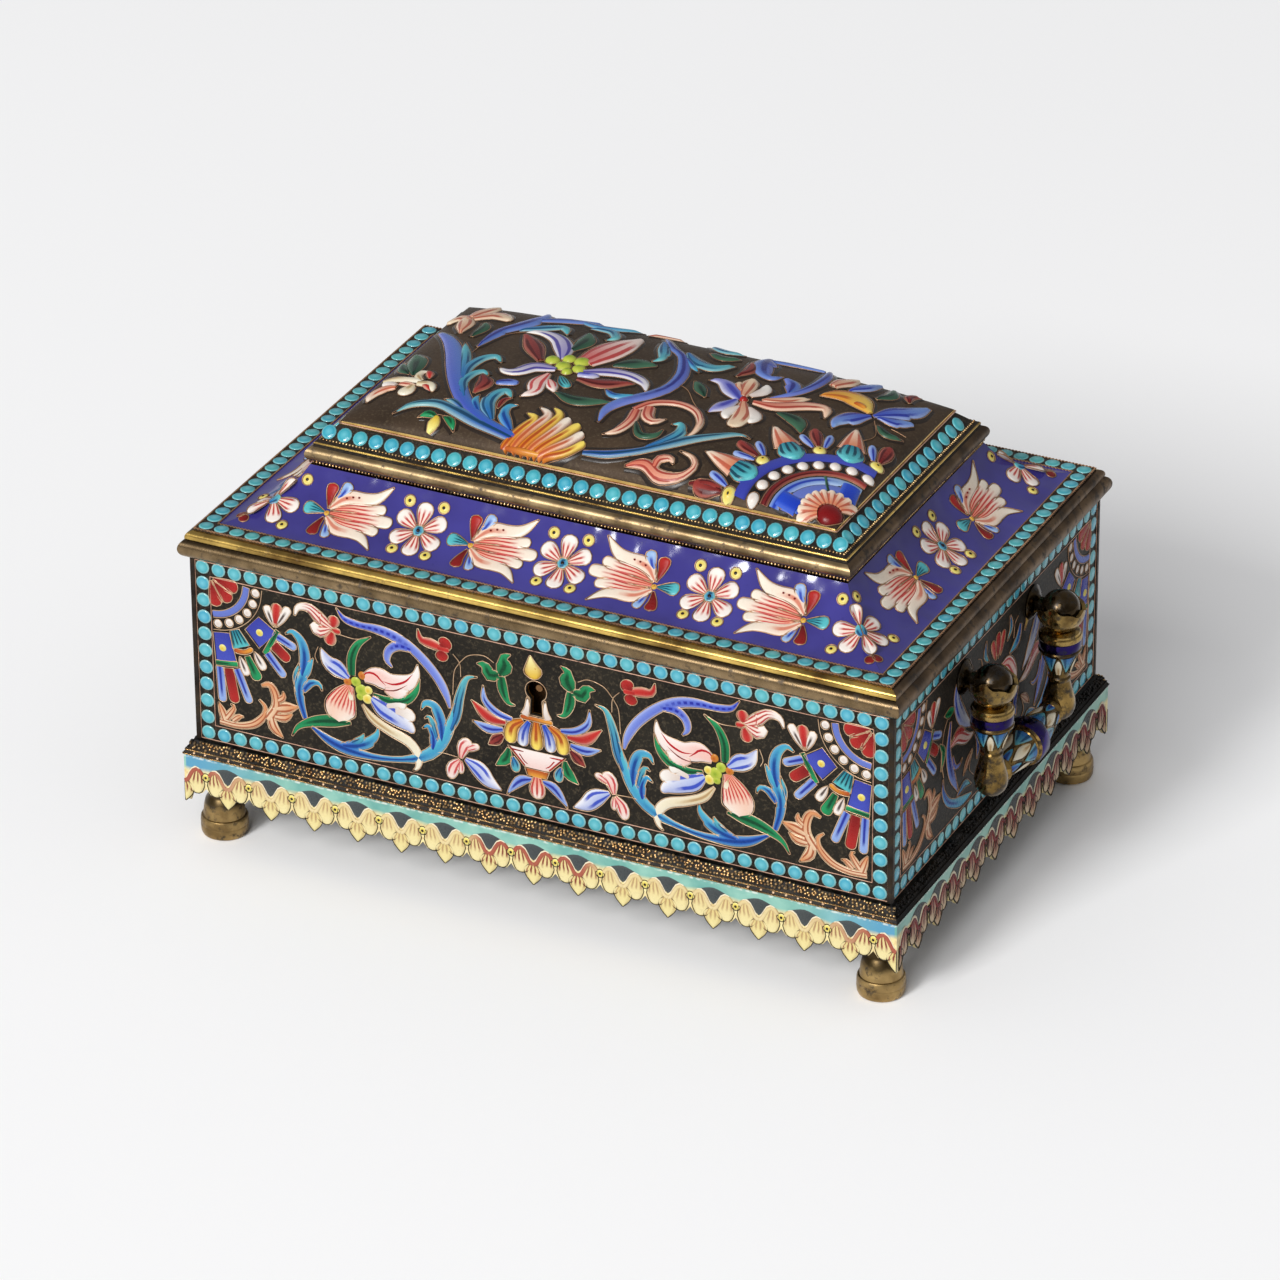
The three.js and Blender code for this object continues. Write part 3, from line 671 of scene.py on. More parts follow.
# Geometry node trees: wires along paths, beads along paths, twisted wires, repeated units
def newTree(name, inputs):
    tree = bpy.data.node_groups.new(name, "GeometryNodeTree")
    tree.interface.new_socket("Geometry", in_out="OUTPUT", socket_type="NodeSocketGeometry")
    tree.interface.new_socket("Geometry", in_out="INPUT", socket_type="NodeSocketGeometry")
    for label, kind in inputs.items():
        tree.interface.new_socket(label, in_out="INPUT", socket_type="NodeSocket" + kind)
    graph = Graph(tree)
    source = tree.nodes.new("NodeGroupInput")
    return graph, {socket.name: Value(graph, socket) for socket in source.outputs if socket.name}


def endTree(graph, shape, given):
    shape = graph.node("GeometryNodeRealizeInstances", {}, {"Geometry": shape})
    shape = graph.node("GeometryNodeSetMaterial", {}, {"Geometry": shape, "Material": given["Finish"]})
    graph.tree.links.new(shape.socket, graph.tree.nodes.new("NodeGroupOutput").inputs[0])
    return graph.tree


def circle(graph, radius):
    return graph.node("GeometryNodeCurvePrimitiveCircle", {}, {"Resolution": 5, "Radius": radius})


def tube(graph, path, section):
    sockets = {"Curve": path, "Profile Curve": section, "Fill Caps": True}
    return smooth(graph, graph.node("GeometryNodeCurveToMesh", {}, sockets))


def smooth(graph, shape):
    return graph.node("GeometryNodeSetShadeSmooth", {}, {"Geometry": shape, "Shade Smooth": True})


def stored(graph, shape, domain, label, value):
    return graph.node("GeometryNodeStoreNamedAttribute", {"data_type": "FLOAT", "domain": domain},
                      {"Geometry": shape, "Name": label, "Value": value})


def wireTree():
    graph, given = newTree("wires", {"Radius": "Float", "Finish": "Material"})
    path = graph.node("GeometryNodeMeshToCurve", {}, {"Mesh": given["Geometry"]})
    return endTree(graph, tube(graph, path, circle(graph, given["Radius"])), given)


def beadTree():
    inputs = {"Pitch": "Float", "Radius": "Float", "Height": "Float", "Segments": "Int", "Rings": "Int",
              "Jitter": "Float", "Seed": "Int", "Finish": "Material"}
    graph, given = newTree("beads", inputs)
    path = graph.node("GeometryNodeMeshToCurve", {}, {"Mesh": given["Geometry"]})
    count = (graph.node("GeometryNodeSplineLength") / given["Pitch"]).maths("ROUND") + 1.0
    path = graph.node("GeometryNodeResampleCurve", {"mode": "COUNT"}, {"Curve": path, "Count": count})
    bead = graph.node("GeometryNodeMeshUVSphere", {},
                      {"Segments": given["Segments"], "Rings": given["Rings"], "Radius": 1.0})
    flat = graph.node("ShaderNodeVectorMath", {"operation": "MULTIPLY"},
                      {0: graph.node("GeometryNodeInputPosition"), 1: (1, 1, 0)})
    rim = graph.node("ShaderNodeVectorMath", {"operation": "LENGTH"}, {0: flat}, 1)
    bead = stored(graph, bead, "POINT", "rim", rim)
    scale = graph.node("ShaderNodeCombineXYZ", {},
                       {0: given["Radius"], 1: given["Radius"], 2: given["Height"]})
    bead = smooth(graph, graph.node("GeometryNodeTransform", {}, {"Geometry": bead, "Scale": scale}))
    face = graph.node("GeometryNodeInputNamedAttribute", {"data_type": "FLOAT_VECTOR"}, {"Name": "facing"})
    spin = graph.node("FunctionNodeAlignRotationToVector", {"axis": "Z"}, {"Vector": face})
    drift = graph.node("FunctionNodeRandomValue", {"data_type": "FLOAT_VECTOR"},
                       {0: (-1, -1, -1), 1: (1, 1, 1), 8: given["Seed"]})
    drift = graph.node("ShaderNodeVectorMath", {"operation": "SCALE"}, {0: drift, "Scale": given["Jitter"]})
    spots = graph.node("GeometryNodeCurveToPoints", {"mode": "EVALUATED"}, {"Curve": path})
    spots = graph.node("GeometryNodeSetPosition", {}, {"Geometry": spots, "Offset": drift})
    row = graph.node("GeometryNodeInstanceOnPoints", {},
                     {"Points": spots, "Instance": bead, "Rotation": spin})
    shade = graph.node("FunctionNodeRandomValue", {"data_type": "FLOAT"}, {8: given["Seed"]}, 1)
    return endTree(graph, stored(graph, row, "INSTANCE", "shade", shade), given)


def twistTree():
    graph, given = newTree("twisted wires", {"Strand": "Float", "Lay": "Float", "Finish": "Material"})
    path = graph.node("GeometryNodeMeshToCurve", {}, {"Mesh": given["Geometry"]})
    path = graph.node("GeometryNodeResampleCurve", {"mode": "LENGTH"},
                      {"Curve": path, "Length": given["Lay"] / 7.0})
    run = graph.node("GeometryNodeSplineParameter", {}, {}, "Length")
    path = graph.node("GeometryNodeSetCurveTilt", {},
                      {"Curve": path, "Tilt": run / given["Lay"] * (2 * math.pi)})
    strand = circle(graph, given["Strand"])
    pair = []
    for sign in (1, -1):
        shift = graph.node("ShaderNodeCombineXYZ", {}, {0: given["Strand"] * (0.95 * sign)})
        pair.append(graph.node("GeometryNodeTransform", {}, {"Geometry": strand, "Translation": shift}))
    section = graph.node("GeometryNodeJoinGeometry", {}, {"Geometry": pair})
    return endTree(graph, tube(graph, path, section), given)


def repeatTree():
    inputs = {"Count": "Int", "Start": "Vector", "Step": "Vector", "Finish": "Material"}
    graph, given = newTree("repeated units", inputs)
    spots = graph.node("GeometryNodeMeshLine", {}, {"Count": given["Count"], "Start Location": given["Start"],
                                                     "Offset": given["Step"]})
    row = graph.node("GeometryNodeInstanceOnPoints", {}, {"Points": spots, "Instance": given["Geometry"]})
    return endTree(graph, row, given)


trees = {"wire": wireTree(), "bead": beadTree(), "twist": twistTree(), "repeat": repeatTree()}
print("trees:", len(trees))


def pathObject(paths):  # edges to follow, each with the direction that its beads face
    points, edges, faces = [], [], []
    for line, closed, face in paths:
        start = len(points)
        points += [tuple(p) for p in np.asarray(line) * mm]
        faces += [tuple(face)] * len(line)
        edges += [(start + i, start + i + 1) for i in range(len(line) - 1)]
        if closed:
            edges.append((len(points) - 1, start))
    mesh = bpy.data.meshes.new("path")
    mesh.from_pydata(points, edges, [])
    layer = mesh.attributes.new("facing", "FLOAT_VECTOR", "POINT")
    layer.data.foreach_set("vector", np.array(faces).ravel())
    return linked("path", mesh)


def grow(name, source, kind, values):  # run a tree on the source and keep its result as a plain mesh
    modifier = source.modifiers.new(kind, "NODES")
    modifier.node_group = trees[kind]
    for item in trees[kind].interface.items_tree:
        if item.in_out == "INPUT" and item.name in values:
            modifier[item.identifier] = values[item.name]
    graph = bpy.context.evaluated_depsgraph_get()
    mesh = bpy.data.meshes.new_from_object(
        source.evaluated_get(graph), preserve_all_data_layers=True, depsgraph=graph)
    mesh.name = name
    made = linked(name, mesh)
    bpy.data.objects.remove(source)
    return made


def wires(name, paths, radius, finish, body, slotName):
    values = {"Radius": radius * mm, "Finish": finishes[finish]}
    return settle(grow(name, pathObject(paths), "wire", values), body, slotName)


def beads(name, paths, look, finish, body, slotName):
    values = {"Pitch": look["pitch"] * mm, "Radius": look["radius"] * mm, "Height": look["height"] * mm,
              "Segments": look.get("segments", 14), "Rings": look.get("rings", 7), "Seed": look["seed"],
              "Jitter": look.get("jitter", 0.0) * mm, "Finish": finishes[finish]}
    return settle(grow(name, pathObject(paths), "bead", values), body, slotName)


def twists(name, paths, look, finish, body, slotName):
    values = {"Strand": look["strand"] * mm, "Lay": look["lay"] * mm, "Finish": finishes[finish]}
    return settle(grow(name, pathObject(paths), "twist", values), body, slotName)


# Walls: beads round each panel, corner fans, coral scrolls and the vine
panel = {
    "beadIn": 2.6, "beadTop": 67.7, "beadFoot": 26.6,
    "frameIn": 4.4, "frameTop": 65.7, "frameFoot": 28.7,
    "edgeIn": 0.8, "edgeTop": 69.15, "edgeFoot": 24.95,
    "fanTop": 65.6, "frameWire": 0.11, "frameLift": 0.05,
}
wallBead = {"pitch": 3.93, "radius": 1.72, "height": 0.3, "seed": 3}
wallCells = {"relief": 0.3, "wireLift": 0.08, "wire": 0.1}
wallFan = {"petals": (12, 45, 78), "gaps": (28, 62), "arc": 8.9, "pearls": 11.2, "rim": 12.75}
fanRays = [
    ("cobalt", [(2.3, 13.1), (3.3, 19.8)], [2.0, 2.6], "ff"),
    ("green", [(0.7, 20.9), (6.2, 20.2)], 0.6, "ff"),
    ("tongue", [(1.7, 21.7), (2.1, 30.4)], 1.0, "fr"),
    ("red", [(3.8, 21.6), (5.2, 30.0)], 1.25, "fr"),
    ("tongue", [(5.9, 21.3), (8.9, 29.2)], 1.0, "fr"),
    ("cobalt", [(10.0, 9.0), (13.8, 12.4)], [2.6, 3.3], "ff"),
    ("green", [(16.4, 9.4), (13.0, 15.9)], 0.6, "ff"),
    ("tongue", [(16.2, 10.9), (20.8, 12.9)], 1.0, "fr"),
    ("red", [(15.2, 13.2), (19.0, 16.3)], 1.3, "fr"),
    ("tongue", [(13.6, 15.6), (17.8, 20.6)], 1.0, "fr"),
    ("teal", [(5.6, 11.7), (7.2, 15.6)], [1.2, 2.3], "ff"),
    ("orange", [(5.3, 16.8), (8.0, 16.7), (10.0, 15.4)], 0.55, "rr"),
    ("slit", [(6.7, 18.0), (8.5, 22.4)], 1.05, "pr"),
    ("green", [(8.6, 17.5), (11.2, 23.0)], [0.7, 1.5], "fr"),
    ("slit", [(10.4, 16.0), (12.8, 20.0)], 1.05, "pr"),
    ("slit", [(15.5, 8.7), (13.6, 3.7)], 1.0, "pr"),
    ("redEdge", [(15.7, 8.7), (16.4, 2.7)], 1.3, "pr"),
    ("slit", [(15.9, 8.7), (19.3, 3.1)], 1.0, "pr"),
]
fanEyes = ((2.6, 16.8), (11.9, 10.9))
coralScroll = [
    ([(1.2, 30.2), (5.5, 30.1), (9.5, 31.3), (12.2, 34), (12.6, 36.4), (11.2, 37.9)],
     [0.7, 0.7, 0.8, 0.9, 0.6, 0.2]),
    ([(13.2, 33.4), (15.3, 36.7), (15.3, 40), (14.0, 42.2), (11.9, 41.6)], [1.3, 1.3, 1.1, 0.9, 0.3]),
    ([(14.6, 36.4), (17.2, 37.2), (21.0, 38.4)], [0.9, 1.5, 0.1]),
    ([(15.0, 34.6), (17.4, 34.9), (19.4, 36.2)], [0.8, 1.1, 0.1]),
    ([(15.4, 38.4), (17.2, 39.9), (17.2, 41.4)], [0.6, 0.8, 0.1]),
    ([(14.0, 34.2), (14.6, 31.8), (16.9, 29.6)], [1.0, 1.2, 0.1]),
    ([(2.6, 30.8), (1.8, 33), (1, 34.9)], [1.1, 0.9, 0.1]),
    ([(2.8, 31.2), (4.2, 33.2), (4.9, 34.6), (4.0, 35.1)], [0.9, 0.8, 0.6, 0.1]),
    ([(4.4, 31), (6, 32.4), (7.2, 32.6)], [0.6, 0.7, 0.1]),
]


def cornerFan(cells, edge):
    def spot(a, b):
        return (edge + a, panel["fanTop"] - b)

    def radial(angle, near, far):
        return [spot(*p) for p in ray(0, 0, angle, (near, (near + far) / 2, far))]

    def swept(radius, start, stop):
        return [spot(*p) for p in arcPoints(0, 0, radius, start, stop)]

    for angle in wallFan["petals"]:
        cells.leaf("red", radial(angle, 0.8, 7.0), [0.3, 1.2, 1.75], "pr")
    for angle in wallFan["gaps"]:
        cells.leaf("redBrown", radial(angle, 1.2, 6.2), [0.1, 0.5, 0.25])
    cells.leaf("arc", swept(wallFan["arc"], 3, 87), 0.8, "ff")
    for angle in 7.5 + np.arange(6) * 14.9:
        cells.dot("white", *radial(angle, wallFan["pearls"], wallFan["pearls"])[0], 1.02)
    cells.lines([swept(wallFan["rim"], 2, 88)])
    for name, path, width, ends in fanRays:
        cells.leaf(name, [spot(*p) for p in path], width, ends)
    for eye in fanEyes:
        cells.dot("yellow", *spot(*eye), 0.95, False, 1.4, -0.1)
    for path, width in coralScroll:
        cells.leaf("coral", [(edge + a, z) for a, z in path], width)


frontVine = [
    ("petal", [(-49, 59.9), (-51.5, 61.3), (-54.5, 63.6), (-57.2, 63.2), (-58.2, 61)],
     [0.5, 1.5, 1.2, 0.8, 0.2]),
    ("petal", [(-51.8, 60.6), (-52.2, 63.6)], [0.7, 0.9, 0.1]),
    ("petal", [(-49.6, 59.6), (-52.3, 58.6), (-54, 60)], [0.6, 1.6, 0.7]),
    ("redEdge", [(-48.9, 59.9), (-48.4, 63.1)], 1.4, "pr"),
    ("redEdge", [(-48.9, 59.3), (-50, 55.7)], 1.4, "pr"),
    ("redEdge", [(-49.6, 59.5), (-47, 59.4)], 0.7, "pr"),
    ("turquoise", [(-58.2, 42), (-58.4, 46), (-57.4, 49.4)], [0.2, 0.6, 0.1]),
    ("green", [(-44.6, 49.5), (-44.4, 54), (-42.7, 57.6), (-39.6, 60)], [0.9, 1.05, 0.8, 0.1]),
    ("green", [(-39.4, 46), (-35.5, 45.2), (-31.5, 46.3), (-29, 49), (-28, 52.5)], [0.3, 1, 1, 0.7, 0.15]),
    ("green", [(-45, 37.4), (-50, 36.8), (-54.5, 35.5), (-58, 33.5), (-59.7, 30.8)],
     [0.3, 1.4, 1.3, 0.7, 0.15]),
    ("blueWhite", [(-45.3, 48.5), (-48, 50.2), (-50.3, 51.4), (-52, 54.4)], [0.7, 2.1, 1.5, 0.1]),
    ("rayed", [(-45, 46.8), (-46.7, 43), (-47.8, 39.6), (-47.9, 36.9)], [0.9, 2.9, 3.9, 3.2], "pr"),
    ("cream", [(-45.6, 46.2), (-44.8, 42.9)], 0.95, "rr"),
    ("pinkPetal", [(-36.5, 47.8), (-33.6, 47.4), (-30.8, 49)], [0.5, 1.6, 0.2]),
    ("pinkPetal", [(-41.6, 49.4), (-38.5, 50.4), (-35, 49.8), (-31.5, 50.5), (-29, 52.8), (-28.4, 55.9)],
     [1, 2.4, 2.2, 2.1, 1.1, 0.1]),
    ("stroke", [(-42, 49.4), (-40.8, 51), (-38.8, 51.1), (-37.4, 49.9), (-36.2, 48.9)], 0.3, "pp", False,
     0.3, -0.2),
    ("stroke", [(-37, 49.8), (-34.4, 49.6), (-31.6, 50.9), (-29.6, 53.2)], 0.3, "pp", False, 0.3, -0.2),
    ("redBrown", [(-37.4, 47.6), (-34, 48.2), (-31, 50.2)], 0.18, "pp", False, 0.3, -0.2),
    ("white", [(-36, 43.6), (-33.4, 45.2), (-31.4, 44.6)], [0.9, 1.5, 1.1], "pr"),
    ("white", [(-34, 42.8), (-31.2, 42.9), (-29.4, 41.9)], [1.2, 1.7, 1.2], "pr"),
    ("blueWhite", [(-39.8, 44.9), (-37, 43.1), (-34, 41.8), (-31, 40.1), (-29.6, 38.7)],
     [0.8, 2.4, 2.5, 1.9, 0.6], "pr"),
    ("cream", [(-42.1, 42.8), (-39.5, 39.8), (-35.5, 37.8), (-31, 36.2), (-28.8, 33.6), (-28.8, 30.7),
     (-30, 29.2)], [0.3, 1, 1.1, 1.2, 1.2, 0.9, 0.15]),
    ("redEdge", [(-28.2, 64.7), (-27.5, 62.3), (-25, 61.8), (-22.5, 61.3)], [0.1, 0.8, 1.2, 0.8]),
    ("red", [(-22.9, 61), (-20.7, 63.7)], 1.7, "pr"),
    ("red", [(-22.7, 61), (-22.3, 58.1)], 1.6, "pr"),
    ("redEdge", [(-23.8, 61.2), (-20.6, 61.1)], 0.9, "rr", False, 1.1),
    ("green", [(-8.6, 58.2), (-7.4, 60.5), (-7.6, 62.5), (-5.9, 63.6)], [0.9, 1.9, 1, 0.1]),
    ("green", [(-8.9, 58), (-11, 57.5), (-12.2, 59.5), (-14.1, 59.6)], [0.8, 1.6, 1.1, 0.1]),
    ("green", [(-8.3, 57.7), (-7.9, 54.5), (-6.7, 51.8), (-5, 51.4)], [0.9, 1.2, 0.8, 0.1]),
    ("tongue", [(-5.8, 47.7), (-9.5, 48.5), (-12.3, 51), (-12.7, 54.6)], [0.6, 0.95, 0.8, 0.1]),
    ("redEdge", [(-7.3, 46.6), (-11.5, 47), (-15.6, 50.3)], [0.5, 1.4, 0.1]),
    ("tongue", [(-8, 44.8), (-11.5, 44.2), (-15.4, 45.3)], [0.5, 1.15, 0.1]),
    ("redBrown", [(-8, 43.5), (-9.8, 41.8), (-11.6, 40.3)], [0.4, 1.3, 0.1]),
    ("green", [(-6.7, 40.6), (-7.4, 37.8), (-9.9, 35.6)], [0.4, 1.3, 0.1]),
    ("turquoise", [(-5.9, 38.7), (-5.2, 36.8), (-5.2, 35)], [0.4, 1.1, 0.9], "pr"),
    ("tongue", [(-1.2, 34.2), (-4, 33.2), (-6.5, 30.3), (-7.2, 29)], [0.4, 1.2, 0.8, 0.1]),
    ("pinkCurl", [(-18.4, 35.2), (-17.6, 38.3), (-15.8, 40)], [0.4, 1.5, 1.3], "pr"),
    ("pinkCurl", [(-17.4, 37.4), (-15.4, 38.6), (-13.8, 39.2)], [0.3, 0.9, 0.6], "pr"),
    ("pinkCurl", [(-18.6, 34.8), (-20.2, 32.6), (-21, 29.6)], [0.4, 1.5, 0.9], "pr"),
    ("pinkCurl", [(-18.4, 34.6), (-18.4, 31.4)], [0.3, 0.8, 0.5], "pr"),
    ("blueWhite", [(-17.3, 35.3), (-14, 33.4), (-11.8, 31.2), (-8.6, 29.6)], [0.5, 2, 1.7, 0.1]),
    ("blueRib", [(-1.7, 48.3), (-3, 45.4), (-3.4, 41.9)], [0.5, 1.2, 1.3], "pr", True, 1.5),
    ("rib", [(-3.2, 48.2), (-5.8, 46), (-6.4, 42)], [0.6, 1.5, 1.5], "pr", True, 1.5),
    ("white", [(-2.8, 49.7), (-2.2, 51.4), (-2.1, 54.2)], [0.9, 0.55, 0.12]),
]
frontFronds = [  # the last two numbers count the lobes on the right and left edges
    ("lavender", [(-48, 65.2), (-46, 62.9), (-42.6, 62.2), (-38.6, 62.2), (-34.6, 61.6), (-30.8, 60),
     (-27, 57.2), (-23.6, 53.6), (-21.6, 50), (-20.8, 47)], [0.1, 0.9, 0.9, 1.2, 1.3, 1.3, 1.3, 1.2, 1,
     0.3], 2, 0),
    ("lavender", [(-30, 59.3), (-33, 59.4), (-35.3, 57.7), (-35.8, 55.3), (-34.6, 53.7)],
     [0.8, 1.1, 1, 0.8, 0.2]),
    ("sky", [(-57, 45), (-56.2, 48.6), (-56, 52), (-56.8, 55), (-58.8, 56.8), (-60.6, 55.9)],
     [0.4, 1.1, 1.3, 1.2, 0.8, 0.15]),
    ("sky", [(-56.2, 36), (-57.4, 40.5), (-57.3, 44.4), (-55.6, 48), (-53.9, 51.4)],
     [0.7, 1, 1.3, 1.3, 0.1], 3, 0),
    ("sky", [(-56.6, 42.6), (-54.7, 45.1), (-52.6, 45.4), (-51.9, 43.8)], [0.5, 0.9, 0.6, 0.15]),
    ("sky", [(-54.8, 34.2), (-50, 31.6), (-45, 30.5), (-40, 30.3), (-35, 30.9), (-30, 32.2), (-26.2, 34.2),
     (-23.4, 37.2), (-21.4, 41), (-20.2, 45), (-19.5, 48.4)], [0.3, 1.1, 1.4, 0.9, 0.7, 0.7, 1.2, 1.4, 1.3,
     1, 0.1]),
    ("sky", [(-48, 31.2), (-44, 32), (-40.8, 33.6), (-38.8, 36), (-38.4, 38)], [0.4, 1.4, 1.4, 1.0, 0.1], 3,
     0),
    ("turquoise", [(-45.6, 32), (-43, 33.4), (-41.9, 35.6)], [0.4, 1.1, 0.1]),
    ("band", [(-25.2, 34.6), (-24.9, 38.4), (-26, 41.2), (-27.6, 40.4)], [0.5, 1, 0.8, 0.1], 0, 2),
    ("sky", [(-22.8, 37.6), (-23, 42.2), (-24.3, 46.2), (-26.6, 46.8), (-27.8, 44.9)],
     [0.6, 1.2, 1.4, 1, 0.1], 0, 3),
    ("turquoise", [(-23.8, 37), (-24.6, 41), (-25.8, 43.6), (-27, 43)], [0.4, 0.7, 0.7, 0.1]),
    ("turquoise", [(-21.2, 40.6), (-19.4, 45.5), (-18.2, 51), (-16.6, 55.2), (-14, 56.2)],
     [0.5, 1.2, 1.1, 0.8, 0.1]),
]
frontTendrils = [
    [(-47.4, 58.8), (-43.5, 58.6), (-40.5, 59.6)],
    [(-19.8, 60.5), (-18.2, 58.5), (-18, 55.3)],
    [(-18.2, 58.8), (-16, 61), (-12.5, 61.8), (-10, 60.7)],
    [(-20, 50.5), (-19.6, 56), (-18.4, 58.5)],
    [(-27.2, 34), (-23.5, 35.4), (-19, 35.3)],
    [(-52.6, 54.6), (-53.4, 52.2), (-52.8, 50.6)],
]
berries = [
    ("leafGreen", -43.6, 48, 1.3), ("leafGreen", -42.3, 46.2, 1.6), ("yellow", -40.9, 44.4, 1.3),
    ("leafGreen", -42.6, 44.6, 1.0), ("yellow", -40.6, 46.6, 1.1), ("orange", -45.6, 47.6, 1.1),
    ("orange", -42, 49.9, 1.1),
]
vase = [
    ("flame", [(-0.3, 58.8), (-0.6, 60.4), (-1.0, 62.2), (-1.3, 64.5)], [1.7, 2.3, 1.2, 0.1], "rp"),
    ("orange", [(0.5, 59.6), (0, 61.4), (-0.9, 63.4)], 0.2, "pp", False, 1.0, -0.12),
    ("orange", [(-3.9, 49.1), (3.9, 49.1)], 0.5, "rr"),
    ("rib", [(0, 48.5), (0, 45), (0, 41.7)], [0.7, 1.4, 1.6], "pr", True, 1.6),
    ("bowl", [(0, 41.3), (0, 37)], [7, 3], "ff"),
    ("red", [(-6.3, 40.6), (6.3, 40.6)], 0.2, "ff", False, 1.0, -0.1),
    ("red", [(-6.5, 41), (-2.9, 37.3)], 0.2, "ff", False, 1.0, -0.04),
    ("red", [(6.5, 41), (2.9, 37.3)], 0.2, "ff", False, 1.0, -0.04),
    ("red", [(-4.2, 39.8), (-2.2, 37.8), (2.2, 37.8), (4.2, 39.8)], 0.16, "ff", False, 1.0, -0.1),
    ("orange", [(0, 36.7), (0, 35)], [2.9, 2.3], "ff"),
    ("pleat", [(0, 34.9), (0, 31.5), (0, 29.6)], [0.9, 1.9, 1.6], "fr"),
]
keyholeRim = [(-1.6, 50), (-1.5, 52.6)] + arcPoints(0, 56, 2.55, 234, -54, 13) + [(1.5, 52.6), (1.6, 50)]
sideVine = [
    ("blueWhite", [(-20.3, 63.4), (-22, 58), (-19, 51.6), (-13.6, 46.6)], [0.3, 1.6, 1.9, 0.2]),
    ("gold", [(-19.6, 62.6), (-17.2, 60), (-14.4, 56)], [0.3, 1.1, 0.2]),
    ("pinkCurl", [(-25.2, 47), (-21, 47.6), (-16, 44.9), (-12.2, 44.4)], [0.3, 1.6, 1.4, 0.1]),
    ("redEdge", [(-24.4, 48.2), (-20.4, 49), (-16.4, 46.6)], [0.2, 0.9, 0.1]),
    ("violet", [(-25, 53.4), (-26, 46.7), (-24, 40), (-20.6, 34.2)], [0.4, 1.1, 1.4, 0.2]),
    ("lavender", [(-23.8, 44), (-22.4, 41), (-20, 40.2), (-18.4, 41.2)], [0.5, 0.6, 0.5, 0.1]),
    ("sky", [(-28.7, 41), (-28.3, 37.6), (-25.3, 33.7), (-19.3, 30.8), (-13.2, 29.8)],
     [0.2, 0.9, 1, 1.2, 0.3]),
    ("turquoise", [(-21, 33), (-17, 34), (-13.6, 32.4)], [0.3, 1, 0.1]),
    ("green", [(-28.4, 56.4), (-25.5, 55.8), (-22.8, 55.6)], [0.1, 1.3, 0.2]),
    ("green", [(-30.6, 50.6), (-28.6, 47.6), (-29.8, 43.6)], [0.2, 1.1, 0.2]),
    ("redEdge", [(-1.2, 56.4), (-3.2, 61.8)], 1.1, "pr"),
    ("turquoise", [(-6.4, 63.6), (-7, 60.4), (-5, 58)], [0.2, 0.8, 0.2]),
    ("sky", [(-12.2, 58.8), (-10.6, 55.6), (-6.4, 54.2)], [0.6, 1.3, 0.2]),
    ("pinkCurl", [(-2, 53.4), (-5.6, 52.6), (-8.6, 49.4), (-10.4, 45.6)], [0.5, 1.5, 1.6, 0.2]),
    ("deepGreen", [(-2, 50.8), (-5, 47.6), (-6, 43.8)], [0.3, 1.4, 0.2]),
    ("redBrown", [(-0.9, 49.4), (-2.6, 46), (-2.4, 42.6)], [0.3, 1.1, 0.2]),
    ("violet", [(-11.6, 43.6), (-9.8, 40.6), (-10.6, 37)], [0.2, 1.1, 0.2]),
    ("sky", [(-1.4, 38.6), (-5, 37), (-9, 33.6), (-10.8, 30)], [0.3, 1.3, 1.1, 0.15]),
    ("cream", [(-1, 35.6), (-3.6, 33), (-4.4, 29.8)], [0.3, 1.2, 0.2]),
    ("coral", [(-13, 40.6), (-15.8, 38.6), (-17.8, 36.4)], [0.2, 1, 0.1]),
]
sideMiddle = [
    ("red", [(0, 56.2), (0, 62.6)], 1.2, "pr"),
    ("cream", [(0, 53), (0, 49.8)], 1.2, "rr"),
    ("turquoise", [(0, 40.6), (0, 35.4)], 1.5, "pr"),
]
sideTendrils = [
    [(-10.8, 61.4), (-9, 60.2), (-8.4, 57)],
    [(-28.4, 41.4), (-29.6, 46), (-28.8, 52), (-26, 55.6)],
    [(-12.4, 34), (-14.6, 36.6), (-13.2, 40)],
]


def wallSkin(side, out=0.0):
    return lambda u, v, lift: place(side, u, out + lift, v)


def wallFrames(cells, end):  # wire frames inside and outside the bead rows
    frames = []
    for label in ("frame", "edge"):
        a, low, high = end - panel[label + "In"], panel[label + "Foot"], panel[label + "Top"]
        corners = [(-a, low), (a, low), (a, high), (-a, high)]
        for pair in zip(corners, corners[1:] + corners[:1]):
            frames.append((cells.lay(*np.array(pair).T, panel["frameLift"]), False, upward))
    return frames


def wallBeads(side):
    face = facing(side, 1, 0)
    end = halfRun(side) - panel["beadIn"]
    top, foot, gap = panel["beadTop"], panel["beadFoot"], wallBead["pitch"]
    paths = [straight(side, 0.0, level, face, panel["beadIn"]) for level in (top, foot)]
    for u in (-end, end):
        paths.append((place(side, u, 0.0, [foot + gap, top - gap]), False, face))
    beads(side + "_wall_beads", paths, wallBead, "bead", "casket", "enamel_wall")


